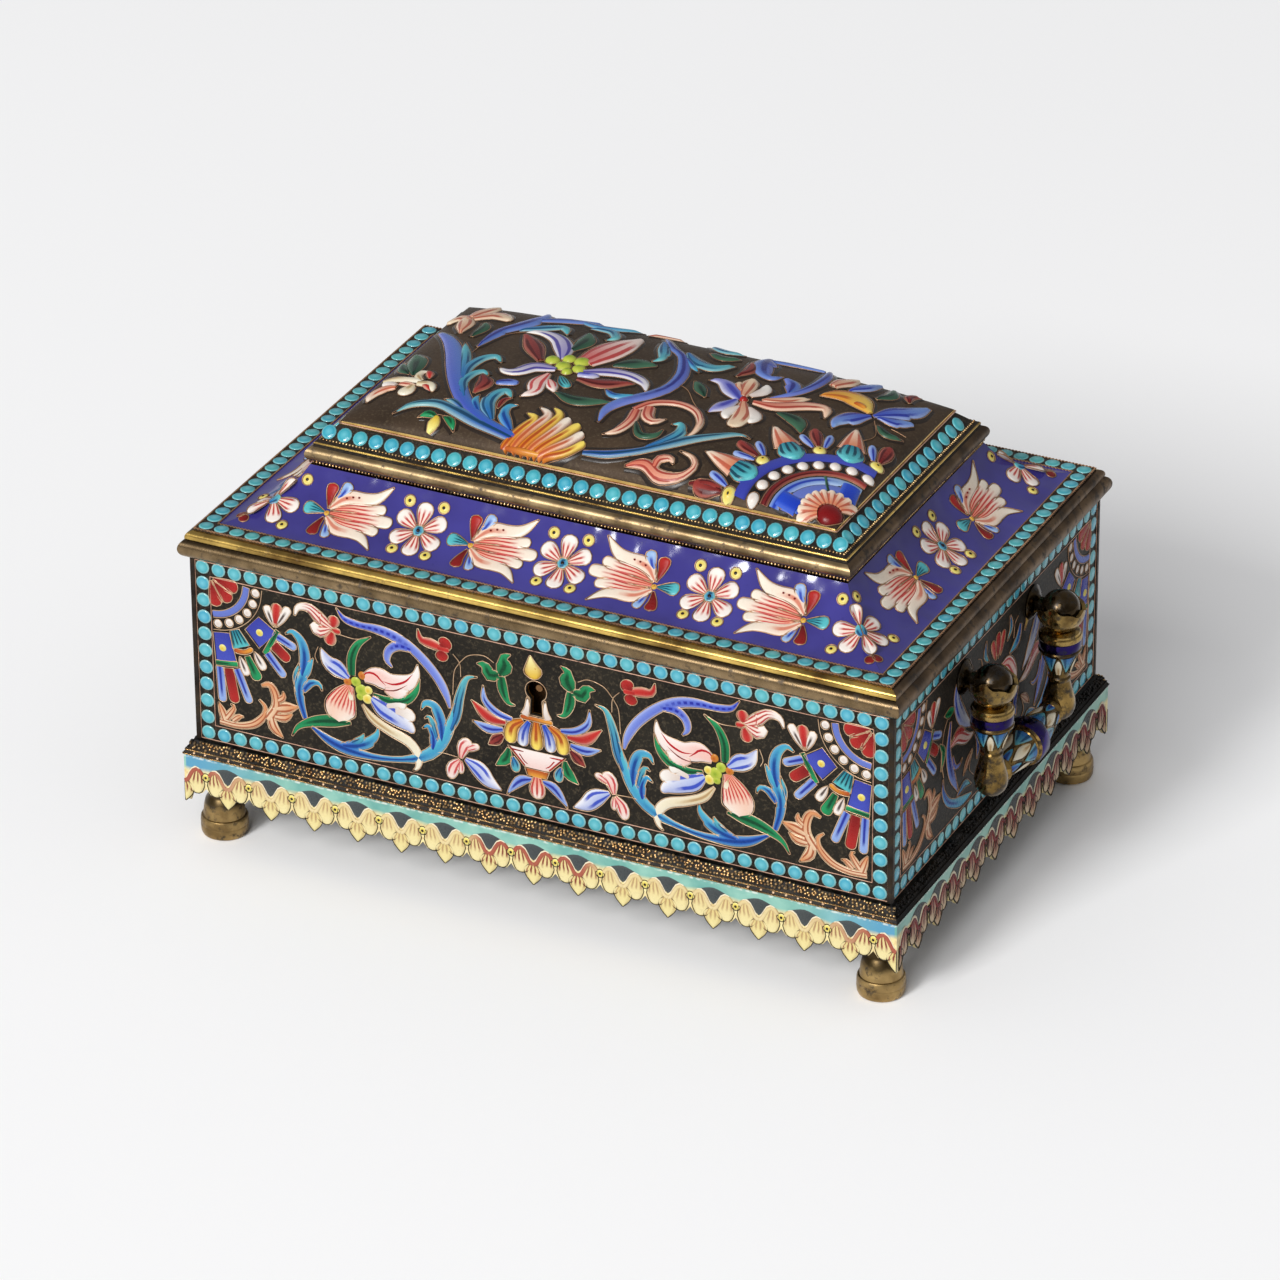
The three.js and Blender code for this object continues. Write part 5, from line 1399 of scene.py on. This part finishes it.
topVine = [
    ("rib", [(-19.5, -30.3), (-17.3, -26), (-15.9, -22.4), (-18.5, -21)], [1, 1.3, 1.2, 0.2]),
    ("paleRib", [(-17.6, -30.3), (-15, -25), (-13.6, -20.6), (-16.6, -18.3)], [1, 1.3, 1.3, 0.2]),
    ("rib", [(-15.8, -30.3), (-12.6, -25), (-11.2, -20), (-13.8, -17.4)], [1, 1.3, 1.3, 0.2]),
    ("paleRib", [(-14, -30.3), (-10.4, -25.4), (-8.6, -20.2)], [0.9, 1.25, 1.4], "fr"),
    ("rib", [(-12.5, -30.3), (-8.2, -25.8), (-5.6, -21.4)], [0.9, 1.2, 1.4], "fr"),
    ("paleRib", [(-11.2, -30.3), (-6.2, -27), (-3.6, -23.6)], [0.8, 1.1, 1.3], "fr"),
    ("rib", [(-10, -30.3), (-5.2, -28.8), (-2, -26)], [0.6, 0.9, 1.1], "fr"),
    ("orange", [(-20.4, -30.1), (-15, -30.1), (-9.6, -30.1)], [0.3, 0.5, 0.3], "rr", False, 1.9),
    ("redBrown", [(-34.8, -10.2), (-32.6, -13.2), (-33, -17.6)], [0.5, 2.0, 0.3]),
    ("redBrown", [(-25.4, -21.4), (-25.4, -18.4), (-24, -17)], [0.2, 0.7, 0.2]),
    ("purpleWhite", [(-21.8, 2.8), (-23.8, 7.6), (-27.2, 11.8), (-31.6, 13.6), (-36, 13)],
     [0.9, 2.3, 2.2, 1.4, 0.2]),
    ("redBrown", [(-26, 0.4), (-30.4, 6.2), (-35.6, 12)], [0.8, 2.3, 0.3]),
    ("pinkTall", [(-16.6, 3.2), (-14.9, 8.6), (-13, 14.4), (-10.8, 20.2)], [2.6, 4.1, 3.5, 0.6], "pr"),
    ("purpleWhite", [(-14.8, -1.2), (-9.6, 1.3), (-4.6, 1.5), (-0.6, -0.4), (1.4, -3.6)],
     [0.9, 1.8, 1.7, 1.4, 0.2]),
    ("redBrown", [(-14.6, -4.6), (-9, -4.4), (-2.2, -1.5)], [0.6, 2.1, 0.2]),
    ("bluePale", [(-15.2, -3), (-12.8, -2.6), (-10.6, -1.6)], [0.6, 1.1, 0.3], "pr", True, 1.4),
    ("purpleWhite", [(-20.8, -2.4), (-25.6, -2.8), (-28.2, -6.2), (-30.8, -7), (-33, -5.5)],
     [0.8, 2.1, 2.1, 1.2, 0.15]),
    ("pinkCurl", [(-21.2, -4.8), (-21.8, -9.4), (-20.8, -13.2), (-22.8, -16)], [0.5, 2, 1.7, 0.15]),
    ("pinkCurl", [(-20, -7.4), (-18, -9.8), (-16.6, -11.8)], [0.5, 1.4, 0.3]),
    ("teal", [(-18.6, -4.8), (-16.4, -7.2), (-14.6, -9)], [0.4, 1.3, 0.9], "pr"),
    ("deepGreen", [(-21.8, 7.6), (-21.2, 13), (-22.6, 18)], [0.6, 2.2, 0.3]),
    ("deepGreen", [(-10.4, 4.2), (-6.4, 7.4), (-1.6, 8.4)], [0.4, 2.3, 0.2]),
    ("deepGreen", [(-16.8, -11.6), (-10.8, -13.4), (-3, -11.2)], [0.2, 1.8, 0.2]),
    ("violet", [(-30.4, -12.6), (-28, -11.3), (-25.4, -11.2)], [0.7, 1.3, 0.9], "rr"),
    ("salmon", [(2.8, -12), (5.2, -8), (10, -6), (14.8, -7.2), (18, -11.2), (18.6, -15.2), (17.6, -18)],
     [0.9, 1.1, 1.1, 1.1, 0.9, 0.7, 0.2]),
    ("salmon", [(3.4, -12.4), (4, -16.8), (2.8, -20.8), (0.2, -22.7)], [1.2, 1.3, 1.1, 0.1]),
    ("salmon", [(5.4, -10.2), (6.6, -13.6), (8.8, -15), (10.9, -13)], [1.4, 1.5, 1.1, 0.15]),
    ("deepGreen", [(5.2, -16.4), (8, -20.4), (11.2, -19.8), (12, -17)], [0.4, 0.9, 0.9, 0.2]),
    ("salmon", [(8.6, -28.9), (12.8, -27.8), (16.8, -29.3), (21.6, -28.7), (23.6, -26), (22, -23.6),
     (18.6, -22.5)], [0.2, 1.2, 1.2, 1, 0.8, 0.6, 0.2]),
    ("salmon", [(15.2, -28), (15.4, -26), (17.6, -25.2), (18.9, -26.4)], [0.8, 1.1, 0.9, 0.15]),
    ("redBrown", [(24, -29.4), (28, -28.8), (31.4, -29.2)], [0.3, 0.9, 0.6], "pr"),
    ("pinkCream", [(21.2, 3.4), (20.4, 7.4), (19.8, 11.6)], [0.9, 2.0, 1.7], "pr"),
    ("white", [(22.6, 4.2), (24.3, 7.6), (23.8, 10.2)], [0.6, 1.5, 1.1], "pr"),
    ("pinkCream", [(20.2, 4.8), (18.4, 7), (18, 9)], [0.5, 1.3, 0.8], "pr"),
    ("pinkCream", [(22.6, 0.6), (24.8, -5), (24.8, -10.2)], [0.9, 2.2, 1.7], "pr"),
    ("white", [(22.8, -1.2), (21.4, -4.8), (22.2, -7.6)], [0.5, 1.5, 0.6], "pr"),
    ("white", [(24.6, -0.8), (27.6, -4), (27.4, -7)], [0.5, 1.6, 0.6], "pr"),
    ("bluePale", [(21.2, 1.6), (18, 4.8), (14.6, 7.4), (11.2, 7.2)], [0.9, 2.3, 1.7, 0.1]),
    ("bluePale", [(20.8, 0.8), (19.2, -3), (17.6, -6.5)], [0.8, 2.0, 0.2]),
    ("salmon", [(24.4, 1.8), (29.4, 2.6), (34.8, 6.2), (39, 7.3), (40.5, 3.4)], [0.8, 1.9, 1.9, 1.4, 0.15]),
    ("pinkCream", [(25.6, 3.6), (30.2, 6), (34.4, 9.7)], [0.5, 1.6, 0.2]),
    ("deepGreen", [(14, -0.6), (11, 3), (8.8, 5.4)], [0.2, 1.4, 0.2]),
    ("deepGreen", [(30.8, 0.2), (36, -1), (38.8, -5.2)], [0.4, 2.0, 0.2]),
    ("redBrown", [(15.8, 11.6), (17, 16), (15.2, 21)], [0.2, 1.5, 0.2]),
    ("gold", [(35.2, 12.4), (38.8, 15.4), (42.6, 15.6), (47.4, 11.8)], [0.2, 2.6, 3, 0.6]),
    ("orange", [(42.6, 13.4), (44.6, 13.2), (46.6, 12)], [0.5, 0.9, 0.3], "rp", False, 1.3),
    ("pinkCream", [(35.6, 18.6), (36.4, 22), (38.2, 26.4)], [1.2, 2.4, 1], "pr"),
    ("blueLeaf", [(39.4, 18.6), (41.4, 23), (42.8, 27.4)], [0.4, 1.9, 0.8]),
    ("deepGreen", [(45.6, 19), (47.4, 23), (46, 27.6)], [0.3, 1.5, 0.2]),
    ("redBrown", [(51.6, 23), (50.4, 26), (52, 28.6)], [0.2, 1.2, 0.2]),
    ("deepGreen", [(50.6, 8.4), (53.4, 6.4), (57, 7.8)], [0.3, 1.1, 0.1]),
    ("cream", [(-56, -15.6), (-53.6, -14.7), (-50.6, -15), (-48, -15.4), (-46.4, -16.2)],
     [0.7, 1.1, 1.1, 1, 0.4]),
    ("cream", [(-47.2, -15.2), (-48.7, -13.4), (-48.8, -11.7), (-47.6, -10.7)], [0.7, 0.9, 0.9, 0.3]),
    ("redEdge", [(-47.7, -10.9), (-46.5, -12.1), (-45.7, -14)], [0.4, 0.9, 0.2]),
    ("cream", [(-47.2, -16.6), (-44.8, -16.5), (-43.2, -17.6), (-42.3, -19.2)], [0.8, 1.2, 1.1, 0.2]),
    ("redEdge", [(-45.6, -17.2), (-44.2, -17.9), (-43, -19)], [0.3, 0.6, 0.1], "pp", False, 1.2, -0.1),
    ("salmon", [(-51.6, -16.8), (-49.4, -17), (-47.4, -17.4)], [0.4, 0.9, 0.4]),
    ("cream", [(-47.8, -17.8), (-48.3, -19.6), (-49.5, -21.3)], [0.9, 1.9, 1.5], "pr"),
    ("white", [(-52, -17.6), (-53.8, -16.9), (-55.8, -16.6)], [0.6, 1.2, 0.8], "pr"),
    ("peach", [(-51.4, -18.7), (-53.8, -19), (-55.6, -21.2), (-55.6, -24.6)], [0.6, 1.7, 1.4, 0.1]),
    ("deepGreen", [(-50.2, -13), (-51.4, -9.4), (-53.2, -5.4), (-55.4, -1.6)], [0.2, 2, 2.3, 0.2]),
    ("deepGreen", [(-51.6, -12.2), (-54.6, -9.4), (-56.6, -5)], [0.2, 1.2, 0.1]),
    ("pinkCream", [(-50.4, 10), (-51.6, 14.6), (-53.6, 19)], [0.4, 2.2, 1.4], "pr"),
    ("pinkCream", [(-52, 17.4), (-55.2, 19.4), (-57, 16.4)], [1.2, 1.9, 0.6], "pr"),
    ("pinkCream", [(-51.4, 18.4), (-47.2, 21.2), (-42.4, 18.6)], [1.2, 2.4, 1], "pr"),
    ("pinkCream", [(-52.4, 19.4), (-51.4, 23.4), (-49.4, 27.6)], [1.2, 2.4, 1], "pr"),
    ("deepGreen", [(-46.6, 8), (-46, 13), (-47.6, 16.4)], [0.3, 1.4, 0.2]),
    ("yellow", [(-37.2, -26.8), (-37.2, -28.6), (-37.6, -30.3)], [0.6, 1.4, 0.5]),
    ("red", [(-37, -26.8), (-36.8, -28.4)], 0.6, "pr"),
    ("green", [(-37, -27), (-39.5, -26.4), (-41.4, -27.6)], [0.2, 1, 0.1]),
    ("green", [(-36, -26.4), (-33.6, -27.4), (-32, -29.4)], [0.2, 0.9, 0.1]),
    ("salmon", [(-12, 25.4), (-8.6, 27.8), (-4, 28)], [0.3, 1.3, 0.2]),
    ("turquoise", [(2, 27.6), (7, 24.6), (11.6, 25.4)], [0.2, 1.4, 0.2]),
    ("deepGreen", [(5, 21), (9, 19.4), (12.6, 21)], [0.2, 1.4, 0.2]),
]
topTendrils = [
    [(-42.4, 0), (-42, 6), (-39, 11), (-36, 13)],
    [(4.6, 3), (9, 1), (13, -4), (17.4, -8.6)],
    [(49.4, 9.6), (52, 4), (50, -1)],
    [(53.4, 9.4), (56.8, 9.6)],
    [(38.6, -4.8), (40, -8), (38.8, -12)],
    [(-32.4, -29.4), (-36.4, -26.2), (-41.6, -27.8)],
]
topSeeds = [(-17.2, 3.2, 2), (-23.6, 1.6, 1.8), (-20.4, 3.4, 1.7), (-20.2, -0.2, 1.9), (-16.4, -0.2, 1.7),
            (-18.2, -2.4, 1.3)]
# the dark hem paints shadow and grime round the lid cells
topCells = {"relief": 0.8, "wireLift": 0.16, "shadowAndGrimeHem": 0.9, "wire": 0.11}
fan = {"x": 58.4, "y": -30.6, "arc": 16.7, "beads": 19.4, "crown": 22.6, "eyes": 25.0, "bloom": (55.9, -27.7),
       "eyeAngles": (2.2, 27.8, 58.1, 86.3), "shellAngles": (15.8, 44, 73), "blockAngles": (12, 80)}


def topFan(cells):  # quarter rosette in the front right corner of the lid
    def spot(radius, angle):
        return ray(fan["x"], fan["y"], 180 - angle, [radius])[0]

    def swept(radius, start=2, stop=88):
        return [spot(radius, a) for a in np.linspace(start, stop, 9)]

    def out(angle, radii):
        return ray(fan["x"], fan["y"], 180 - angle, radii)

    cells.leaf("drop", swept(8.6, 3, 87), 1.7, "ff", False, 0.5)
    cells.leaf("arc", swept(11.6), 1.4, "ff", False, 0.5)
    cells.leaf("drop", swept(14.3), 1.3, "ff", False, 0.5)
    for angle in fan["blockAngles"]:
        cells.leaf("block", out(angle, (9.4, 11.8, 14.2)), 1.9, "ff", True, 0.6, -0.2)
    cells.leaf("deepGreen", out(58, (10.4, 12.8, 15.4)), 0.3, "ff", False, 0.8, -0.2)
    for angle in np.linspace(62, 208, 10):
        cells.leaf("peach", ray(*fan["bloom"], angle, (2.6, 4.8, 6.9)), [0.8, 1.15, 1.3], "pr", True, 1.2)
    cells.dot("garnet", *fan["bloom"], 2.95, True, 1.8)
    cells.leaf("redBrown", swept(fan["arc"]), 0.85, "ff")
    cells.leaf("dark", swept(fan["beads"]), 1.7, "ff", False, 0.4)
    cells.leaf("cobalt", swept(fan["crown"]), 1.5, "ff", False, 0.6)
    for angle in np.linspace(3.4, 86.6, 9):
        cells.dot("white", *spot(fan["beads"], angle), 1.35, lift=1.4)
    for angle in fan["eyeAngles"]:
        cells.ring(*spot(fan["eyes"], angle), 1.5)
        cells.leaf("redBrown", out(angle, (26.8, 30, 33.4)), [0.5, 1.4, 1.2], "pr")
        for turn in (-4.6, 4.6):
            if 1 < angle + turn < 89:
                path = [spot(r, angle + turn * bend) for r, bend in ((26.2, 0.6), (28.6, 1), (31.2, 1.3))]
                cells.leaf("tongue", path, [0.4, 0.95, 0.8], "pr")
    for angle in fan["shellAngles"]:
        path = [spot(23.6, angle - 7), spot(24.6, angle), spot(23.6, angle + 7)]
        cells.leaf("cobalt", path, 1.6, "rr", False, 0.5)
        cells.leaf("shell", out(angle, (27.6, 25, 21.8)), [2.2, 3.1, 1.8], "fr", True, 1.5)
        cells.leaf("peach", out(angle, (27.2, 30.5, 36)), [3.1, 1.9, 0.1], "fp", True, 1.2)


def dressTop():
    cells = Cells(domePoint, "painted", topCells)
    cells.fronds(topFronds)
    cells.rows(topVine)
    for u, v, radius in topSeeds:
        cells.dot("leafGreen", u, v, radius, True, 1.5)
    cells.dot("red", 22, 2, 1.0, True, 1.5)
    topFan(cells)
    cells.lines(topTendrils)
    cells.enamel("lid_top_enamel", "lid", "lid_panel")
    wires("lid_top_wires", cells.paths(), topCells["wire"], "copper", "lid", "antique_gilt")


dressTop()
print("lid top dressed")


# Apron: enamelled units repeated along each plate
apron = {
    "out": 2.5, "ring": 16.4, "relief": 0.25, "wireLift": 0.05,
    "arch": [(2.2, 18.0), (2.4, 16.2), (2.6, 14.4), (1.75, 12.1)], "archWidth": [1.3, 1.9, 2.2, 1.4],
    "arc": [(0.9, 16.9), (1.5, 17.8), (2.3, 18.1), (3.2, 17.5), (3.9, 16.2)],
    "fall": [14.9, 13.6, 12.3, 11, 9.6], "swell": [0.4, 2.0, 2.1, 1.35, 0.1],
    "hollow": [(-4.3, 18.1), (0, 18.1), (4.3, 18.1)], "hollowLow": [0.1, 0.4, 3.0, 0.4, 0.1],
}
longApron = {"count": 16, "drop": "creamDrop", "arch": "creamArch", "stripe": "creamBand", "edge": 0.2,
             "finish": "painted", "wire": 0.1, "hollowHigh": [0.1, 1.2, 1.8, 1.2, 0.1]}
shortApron = {"count": 11, "drop": "pinkDrop", "arch": "pinkArch", "stripe": "pinkBand", "edge": 0.4,
              "finish": "shadedSideEnamel", "wire": 0.17, "hollowHigh": [0.4, 2.0, 2.6, 2.0, 0.4]}


def archUnit(cells, look, edge):
    arc = apron["arc"] + [(edge - 0.7, 14.9), (edge - 0.05, 14.6)]
    for sign in (-1, 1):
        cells.leaf(look["arch"], [(sign * u, v) for u, v in apron["arch"]], apron["archWidth"], "rr")
        cells.leaf(look["stripe"], [(sign * u, v) for u, v in arc], 0.5, "ff", False, 1.0, -0.06)
        upper = [(sign * (u + 0.2), v + 0.55) for u, v in arc[:-1]]
        cells.leaf("paleEdge", upper, look["edge"], "ff", False, 1.0, -0.04)
    if look is longApron:
        cells.ring(0, apron["ring"], 1.0)
    else:
        cells.dot("redBrown", 0, apron["ring"], 0.8)


def dressApron():
    for side in sides:
        long = side in longSides
        look = longApron if long else shortApron
        end = reach("apron_" + side, 0 if long else 1)
        count, pitch = look["count"], 2 * end / look["count"]
        name = "apron_" + side + "_"
        skin = wallSkin(side, apron["out"])
        arches, drops, cornerDrops = [Cells(skin, look["finish"], apron) for k in range(3)]
        archUnit(arches, look, pitch / 2)
        drops.leaf("shadow", apron["hollow"], (apron["hollowLow"], look["hollowHigh"]), "pp", False, 0.6)
        drops.leaf(look["drop"], [(0, v) for v in apron["fall"]], apron["swell"])
        for sign in (-1, 1):
            path = [(sign * (end - 0.1), v) for v in apron["fall"]]
            width = (0.05, apron["swell"]) if sign < 0 else (apron["swell"], 0.05)
            cornerDrops.leaf(look["drop"], path, width)
        cornerDrops.enamel(name + "corner_drops", "casket", "apron_enamel")
        lines = cornerDrops.paths()
        stride = place(side, pitch, 0, 0) - place(side, 0, 0, 0)
        for label, cells, first, number in (("arches", arches, pitch / 2 - end, count),
                                            ("drops", drops, pitch - end, count - 1)):
            begin = place(side, first, 0, 0) - place(side, 0, 0, 0)
            values = {"Count": number, "Start": begin * mm, "Step": stride * mm,
                      "Finish": finishes[look["finish"]]}
            made = grow(name + label, cells.mesh("apron_unit"), "repeat", values)
            settle(made, "casket", "apron_enamel")
            for k in range(number):
                lines += cells.paths(begin + stride * k)
        wires(name + "wires", lines, look["wire"], "dark", "casket", "antique_gilt")


dressApron()
print("apron dressed")


# Turned work: feet, brackets, handle arms and grips
def lathe(profile, steps, at, zones=None):
    radius, height = np.array(profile, float).T[:, :, None]
    turn = np.arange(steps) * 2 * np.pi / steps
    points = np.stack(np.broadcast_arrays(radius * np.cos(turn), radius * np.sin(turn), height), -1)
    marks = np.repeat(zones or [0] * (len(profile) - 1), steps).tolist()
    faces = flipped(skinFaces(len(profile), steps))
    return at(points.reshape(-1, 3)), faces, marks + [marks[0], marks[-1]]


def joined(name, parts, finishNames, body, slotName, replaced):
    faces, marks, start = [], [], 0
    for points, rows, zones in parts:
        faces += [[start + i for i in row] for row in rows]
        marks += zones
        start += len(points)
    made = meshObject(name, np.vstack([part[0] for part in parts]), faces, finishNames, marks, 34)
    settle(made, body, slotName, replaced)


def shifted(centre):
    return lambda p: p + centre


def ball(radius, height, start, stop, count):
    return [(max(0.05, x), y) for x, y in arcPoints(0, height, radius, start, stop, count)]


foot = {"steps": 40, "profile": [
    (4.4, 0.0), (5.0, 0.3), (5.25, 0.9), (5.35, 2.2), (5.22, 2.6), (5.35, 3.0), (5.25, 4.2), (5.05, 4.6),
    (4.75, 4.75), (4.7, 5.0), (4.45, 7.2), (4.1, 8.6), (3.6, 9.4), (3.3, 10.0), (3.3, 12.0), (3.6, 12.5),
    (4.3, 12.9), (4.3, 19.9)]}


def feet():
    for corner in boxCorners:
        name = "foot_" + corner
        x, y = [(reach(name, axis, 0) + reach(name, axis, 1)) / 2 for axis in (0, 1)]
        part = lathe(foot["profile"], foot["steps"], shifted((x, y, 0.0)))
        joined(name + "_turned", [part], ["foot"], "casket", "antique_gilt", name)


feet()
print("feet turned")

pivot = {"x": 90.0, "y": 18.4, "z": 61.0, "drop": 23.5}
arm = {
    "steps": 36, "elbow": 3.7, "cone": [(2.45, -15.2), (4.0, -10.3)],
    "neck": [(3.55, -22), (3.15, -20.4), (2.7, -18.8), (2.35, -17.4), (2.5, -17.0), (2.55, -16.6),
             (2.25, -16.2)],
    "collar": [(4.4, -10.1), (4.75, -9.9), (4.8, -9.5), (4.55, -9.2), (4.62, -9.0), (4.66, -8.2),
               (4.62, -7.3), (4.55, -7.1), (4.75, -6.9), (4.85, -6.6), (4.8, -6.1), (4.7, -5.8), (4.4, -5.6),
               (4.3, -5.2), (3.4, -4.7), (0.05, -4.65)],
    "enamelFrom": -9.2, "cupFrom": -7.1, "wrap": 3.2, "cells": 5,
    "leaves": [("turquoise", 0, (-10.5, -12.6, -15.0), [1.75, 1.0, 0.05], "fp"),
               ("cream", 2.01, (-15.1, -13.2, -10.6), [0.7, 0.85, 0.05], "pp")],
}
cup = {"steps": 48, "rows": 9, "outer": 5.4, "inner": 4.6, "low": -62, "rim": -25, "rise": 44, "scallops": 5}
bracket = {"steps": 32, "ball": 4.3, "profile": [
    (4.0, 0.05), (4.0, 0.4), (3.8, 0.6), (3.2, 0.9), (2.9, 1.2), (2.1, 1.5), (1.6, 2.0), (1.6, 2.6)]}
grip = {
    "steps": 36, "middle": [(5.2, 1.6), (5.0, 2.1), (4.3, 2.4), (4.5, 2.6), (4.5, 2.9)],
    "cone": [(4.2, 3.1), (2.4, 13.0)],
    "end": [(2.75, 13.3), (2.95, 13.8), (2.75, 14.3), (2.2, 14.7), (2.2, 15.3)],
    "enamelTo": 2.15, "wrap": 3.4, "cells": 5,
    "leaves": [("turquoise", 0, (3.3, 5.4, 8.2), [1.95, 1.2, 0.05], "fp"),
               ("sky", 0, (12.8, 11, 8.6), [1.3, 0.8, 0.05], "fp"),
               ("cream", 2.13, (3.9, 7.9, 12.2), [0.05, 1.3, 0.05], "pp")],
}
handleCells = {"relief": 0.25, "wireLift": 0.08, "wire": 0.12}


def cupPart(at, outward):  # two cheeks round the ball, low towards the wall
    turn = np.arange(cup["steps"]) * 2 * np.pi / cup["steps"]
    cheek = np.clip((np.abs(np.sin(turn)) - 0.52) / 0.48, 0, 1) ** 0.6
    brow = np.clip(np.cos(turn) * outward * 1.6, 0, 1) * 0.62
    rim = np.radians(cup["rim"] + np.maximum(cheek, brow) * cup["rise"] + cup["scallops"] * np.cos(8 * turn))
    low = np.radians(cup["low"])
    points = []
    for radius, order in ((cup["outer"], 1), (cup["inner"], -1)):
        for share in np.linspace(0, 1, cup["rows"])[::order]:
            lift = low + (rim - low) * share
            out, level = radius * np.cos(lift), radius * np.sin(lift)
            points.append(np.stack([out * np.cos(turn), out * np.sin(turn), level], -1))
    faces = flipped(skinFaces(2 * cup["rows"], cup["steps"], True))
    return at(np.vstack(points)), faces, [2] * len(faces)


def roundSkin(look, centre, order, sign=1):  # round a cone that runs along an axis
    radii, runs = zip(*look["cone"])

    def skin(u, v, lift):
        radius = np.interp(v, runs, radii) + lift
        turn = np.asarray(u) / look["wrap"]
        run = np.broadcast_to(sign * np.asarray(v, float), np.shape(radius))
        parts = [radius * np.cos(turn), radius * np.sin(turn), run]
        return np.stack([parts[k] for k in order], -1) + centre
    return skin


def handleArm(name, body, end, centre, signX):
    profile = ball(arm["elbow"], -pivot["drop"], -90, 8, 11) + arm["neck"] + arm["cone"] + arm["collar"]
    levels = [(a[1] + b[1]) / 2 for a, b in zip(profile, profile[1:])]
    zones = [2 if level > arm["cupFrom"] else (1 if level > arm["enamelFrom"] else 0) for level in levels]
    parts = [lathe(profile, arm["steps"], shifted(centre), zones), cupPart(shifted(centre), signX)]
    node = name + "_arm_" + end
    joined(node + "_turned", parts, ["brass", "collar", "cup"], body, "handle_brass", node)


def handleBracket(name, end, centre, signX):
    def turned(p):
        return np.stack([signX * (halfX + p[:, 2]), p[:, 0] + centre[1], signX * p[:, 1] + centre[2]], -1)

    profile = bracket["profile"] + ball(bracket["ball"], pivot["x"] - halfX, -68, 90, 14)
    node = name + "_bracket_" + end
    part = lathe(profile, bracket["steps"], turned)
    joined(node + "_turned", [part], ["ball"], "casket", "handle_brass", node)


def handleGrip(name, body, centre):
    def across(p):
        return np.stack([p[:, 1], p[:, 2], p[:, 0]], -1) + centre

    half = grip["middle"] + grip["cone"] + grip["end"]
    profile = [(r, -y) for r, y in half[::-1]] + half
    zones = [int(abs(a[1] + b[1]) / 2 < grip["enamelTo"]) for a, b in zip(profile, profile[1:])]
    part = lathe(profile, grip["steps"], across, zones)
    joined(name + "_grip_turned", [part], ["brass", "collar"], body, "handle_enamel", name + "_grip")


def coneCells(cells, look, skin, start=0.0):
    cells.skin = skin
    pitch = look["wrap"] * 2 * math.pi / look["cells"]
    for k in range(look["cells"]):
        for name, shift, runs, width, ends in look["leaves"]:
            cells.leaf(name, [((k + start) * pitch + shift, v) for v in runs], width, ends)


def handle(name, signX):
    body = name + "_handle"
    cells = Cells(None, "painted", handleCells)
    for end, signY in (("front", -1), ("back", 1)):
        centre = np.array([signX * pivot["x"], signY * pivot["y"], pivot["z"]])
        handleArm(name, body, end, centre, signX)
        coneCells(cells, arm, roundSkin(arm, centre, (0, 1, 2)), 0.5)
        handleBracket(name, end, centre, signX)
    middle = np.array([signX * pivot["x"], 0.0, pivot["z"] - pivot["drop"]])
    handleGrip(name, body, middle)
    for signY in (-1, 1):
        coneCells(cells, grip, roundSkin(grip, middle, (0, 2, 1), signY))
    cells.enamel(body + "_enamel", body, "handle_enamel")
    wires(body + "_wires", cells.paths(), handleCells["wire"], "brass", body, "handle_brass")


handle("right", 1)
handle("left", -1)
print("handles done")

cadFinish = {  # the nodes that stay take their finishes by the first match in their names
    "right_wall": "shadedSideWall", "left_wall": "shadedSideWall", "wall": "wall", "apron": "apron", "base_plate": "dark",
    "floor_lining": "lining", "pin": "brass", "lock": "steel", "key_post": "steel", "hinge": "antique",
}
for name, node in cad.items():
    for part, finish in cadFinish.items():
        if part in name:
            node.data.materials.clear()
            node.data.materials.append(finishes[finish])
            break


# Floor, light and camera
studio = {"floor": 30.0, "world": 0.4, "aim": (0, 0, 0.05)}
lights = {"key_light": {"spot": (-1.68, -7.35, 4.4), "size": 2.2, "power": 455.0},
          "fill_light": {"spot": (0.2, -6.6, 5.0), "size": 4.0, "power": 335.0}}
camera = {
    "lens": 208.77, "sensor": 36.0, "far": 20,
    "right": (0.89972044, 0.43642819, -0.00579357),
    "up": (-0.20552842, 0.43534338, 0.87648971),
    "back": (0.38504701, -0.78740497, 0.48138573),
    "spot": (0.626527, -1.285690, 0.826696),
}


def aligned(made, right, up, back, spot):
    made.matrix_world = Matrix([*zip(right, up, back, spot), (0, 0, 0, 1)])


def areaLight(name, look):
    lamp = bpy.data.lights.new(name, "AREA")
    lamp.size = look["size"]
    lamp.energy = look["power"]
    back = np.array(look["spot"]) - np.array(studio["aim"])
    back /= np.linalg.norm(back)
    right = np.cross(upward, back)
    right /= np.linalg.norm(right)
    aligned(linked(name, lamp), right, np.cross(back, right), back, look["spot"])


def stageSet():
    half = studio["floor"] / 2 / mm
    corners = [(-half, -half, 0), (half, -half, 0), (half, half, 0), (-half, half, 0)]
    meshObject("studio_floor", corners, [[0, 1, 2, 3]], ["floor"])
    world = bpy.data.worlds.new("studio")
    world.use_nodes = True
    back = world.node_tree.nodes["Background"]
    back.inputs["Color"].default_value = tone(250, 250, 252)
    back.inputs["Strength"].default_value = studio["world"]
    bpy.context.scene.world = world
    for name, look in lights.items():
        areaLight(name, look)
    bpy.context.scene.view_settings.view_transform = "Standard"


def photoCamera():
    lens = bpy.data.cameras.new("camera")
    lens.lens = camera["lens"]
    lens.sensor_width = camera["sensor"]
    lens.clip_end = camera["far"]
    made = linked("camera", lens)
    aligned(made, camera["right"], camera["up"], camera["back"], camera["spot"])
    bpy.context.scene.camera = made


stageSet()
photoCamera()
print("floor, light and camera set")
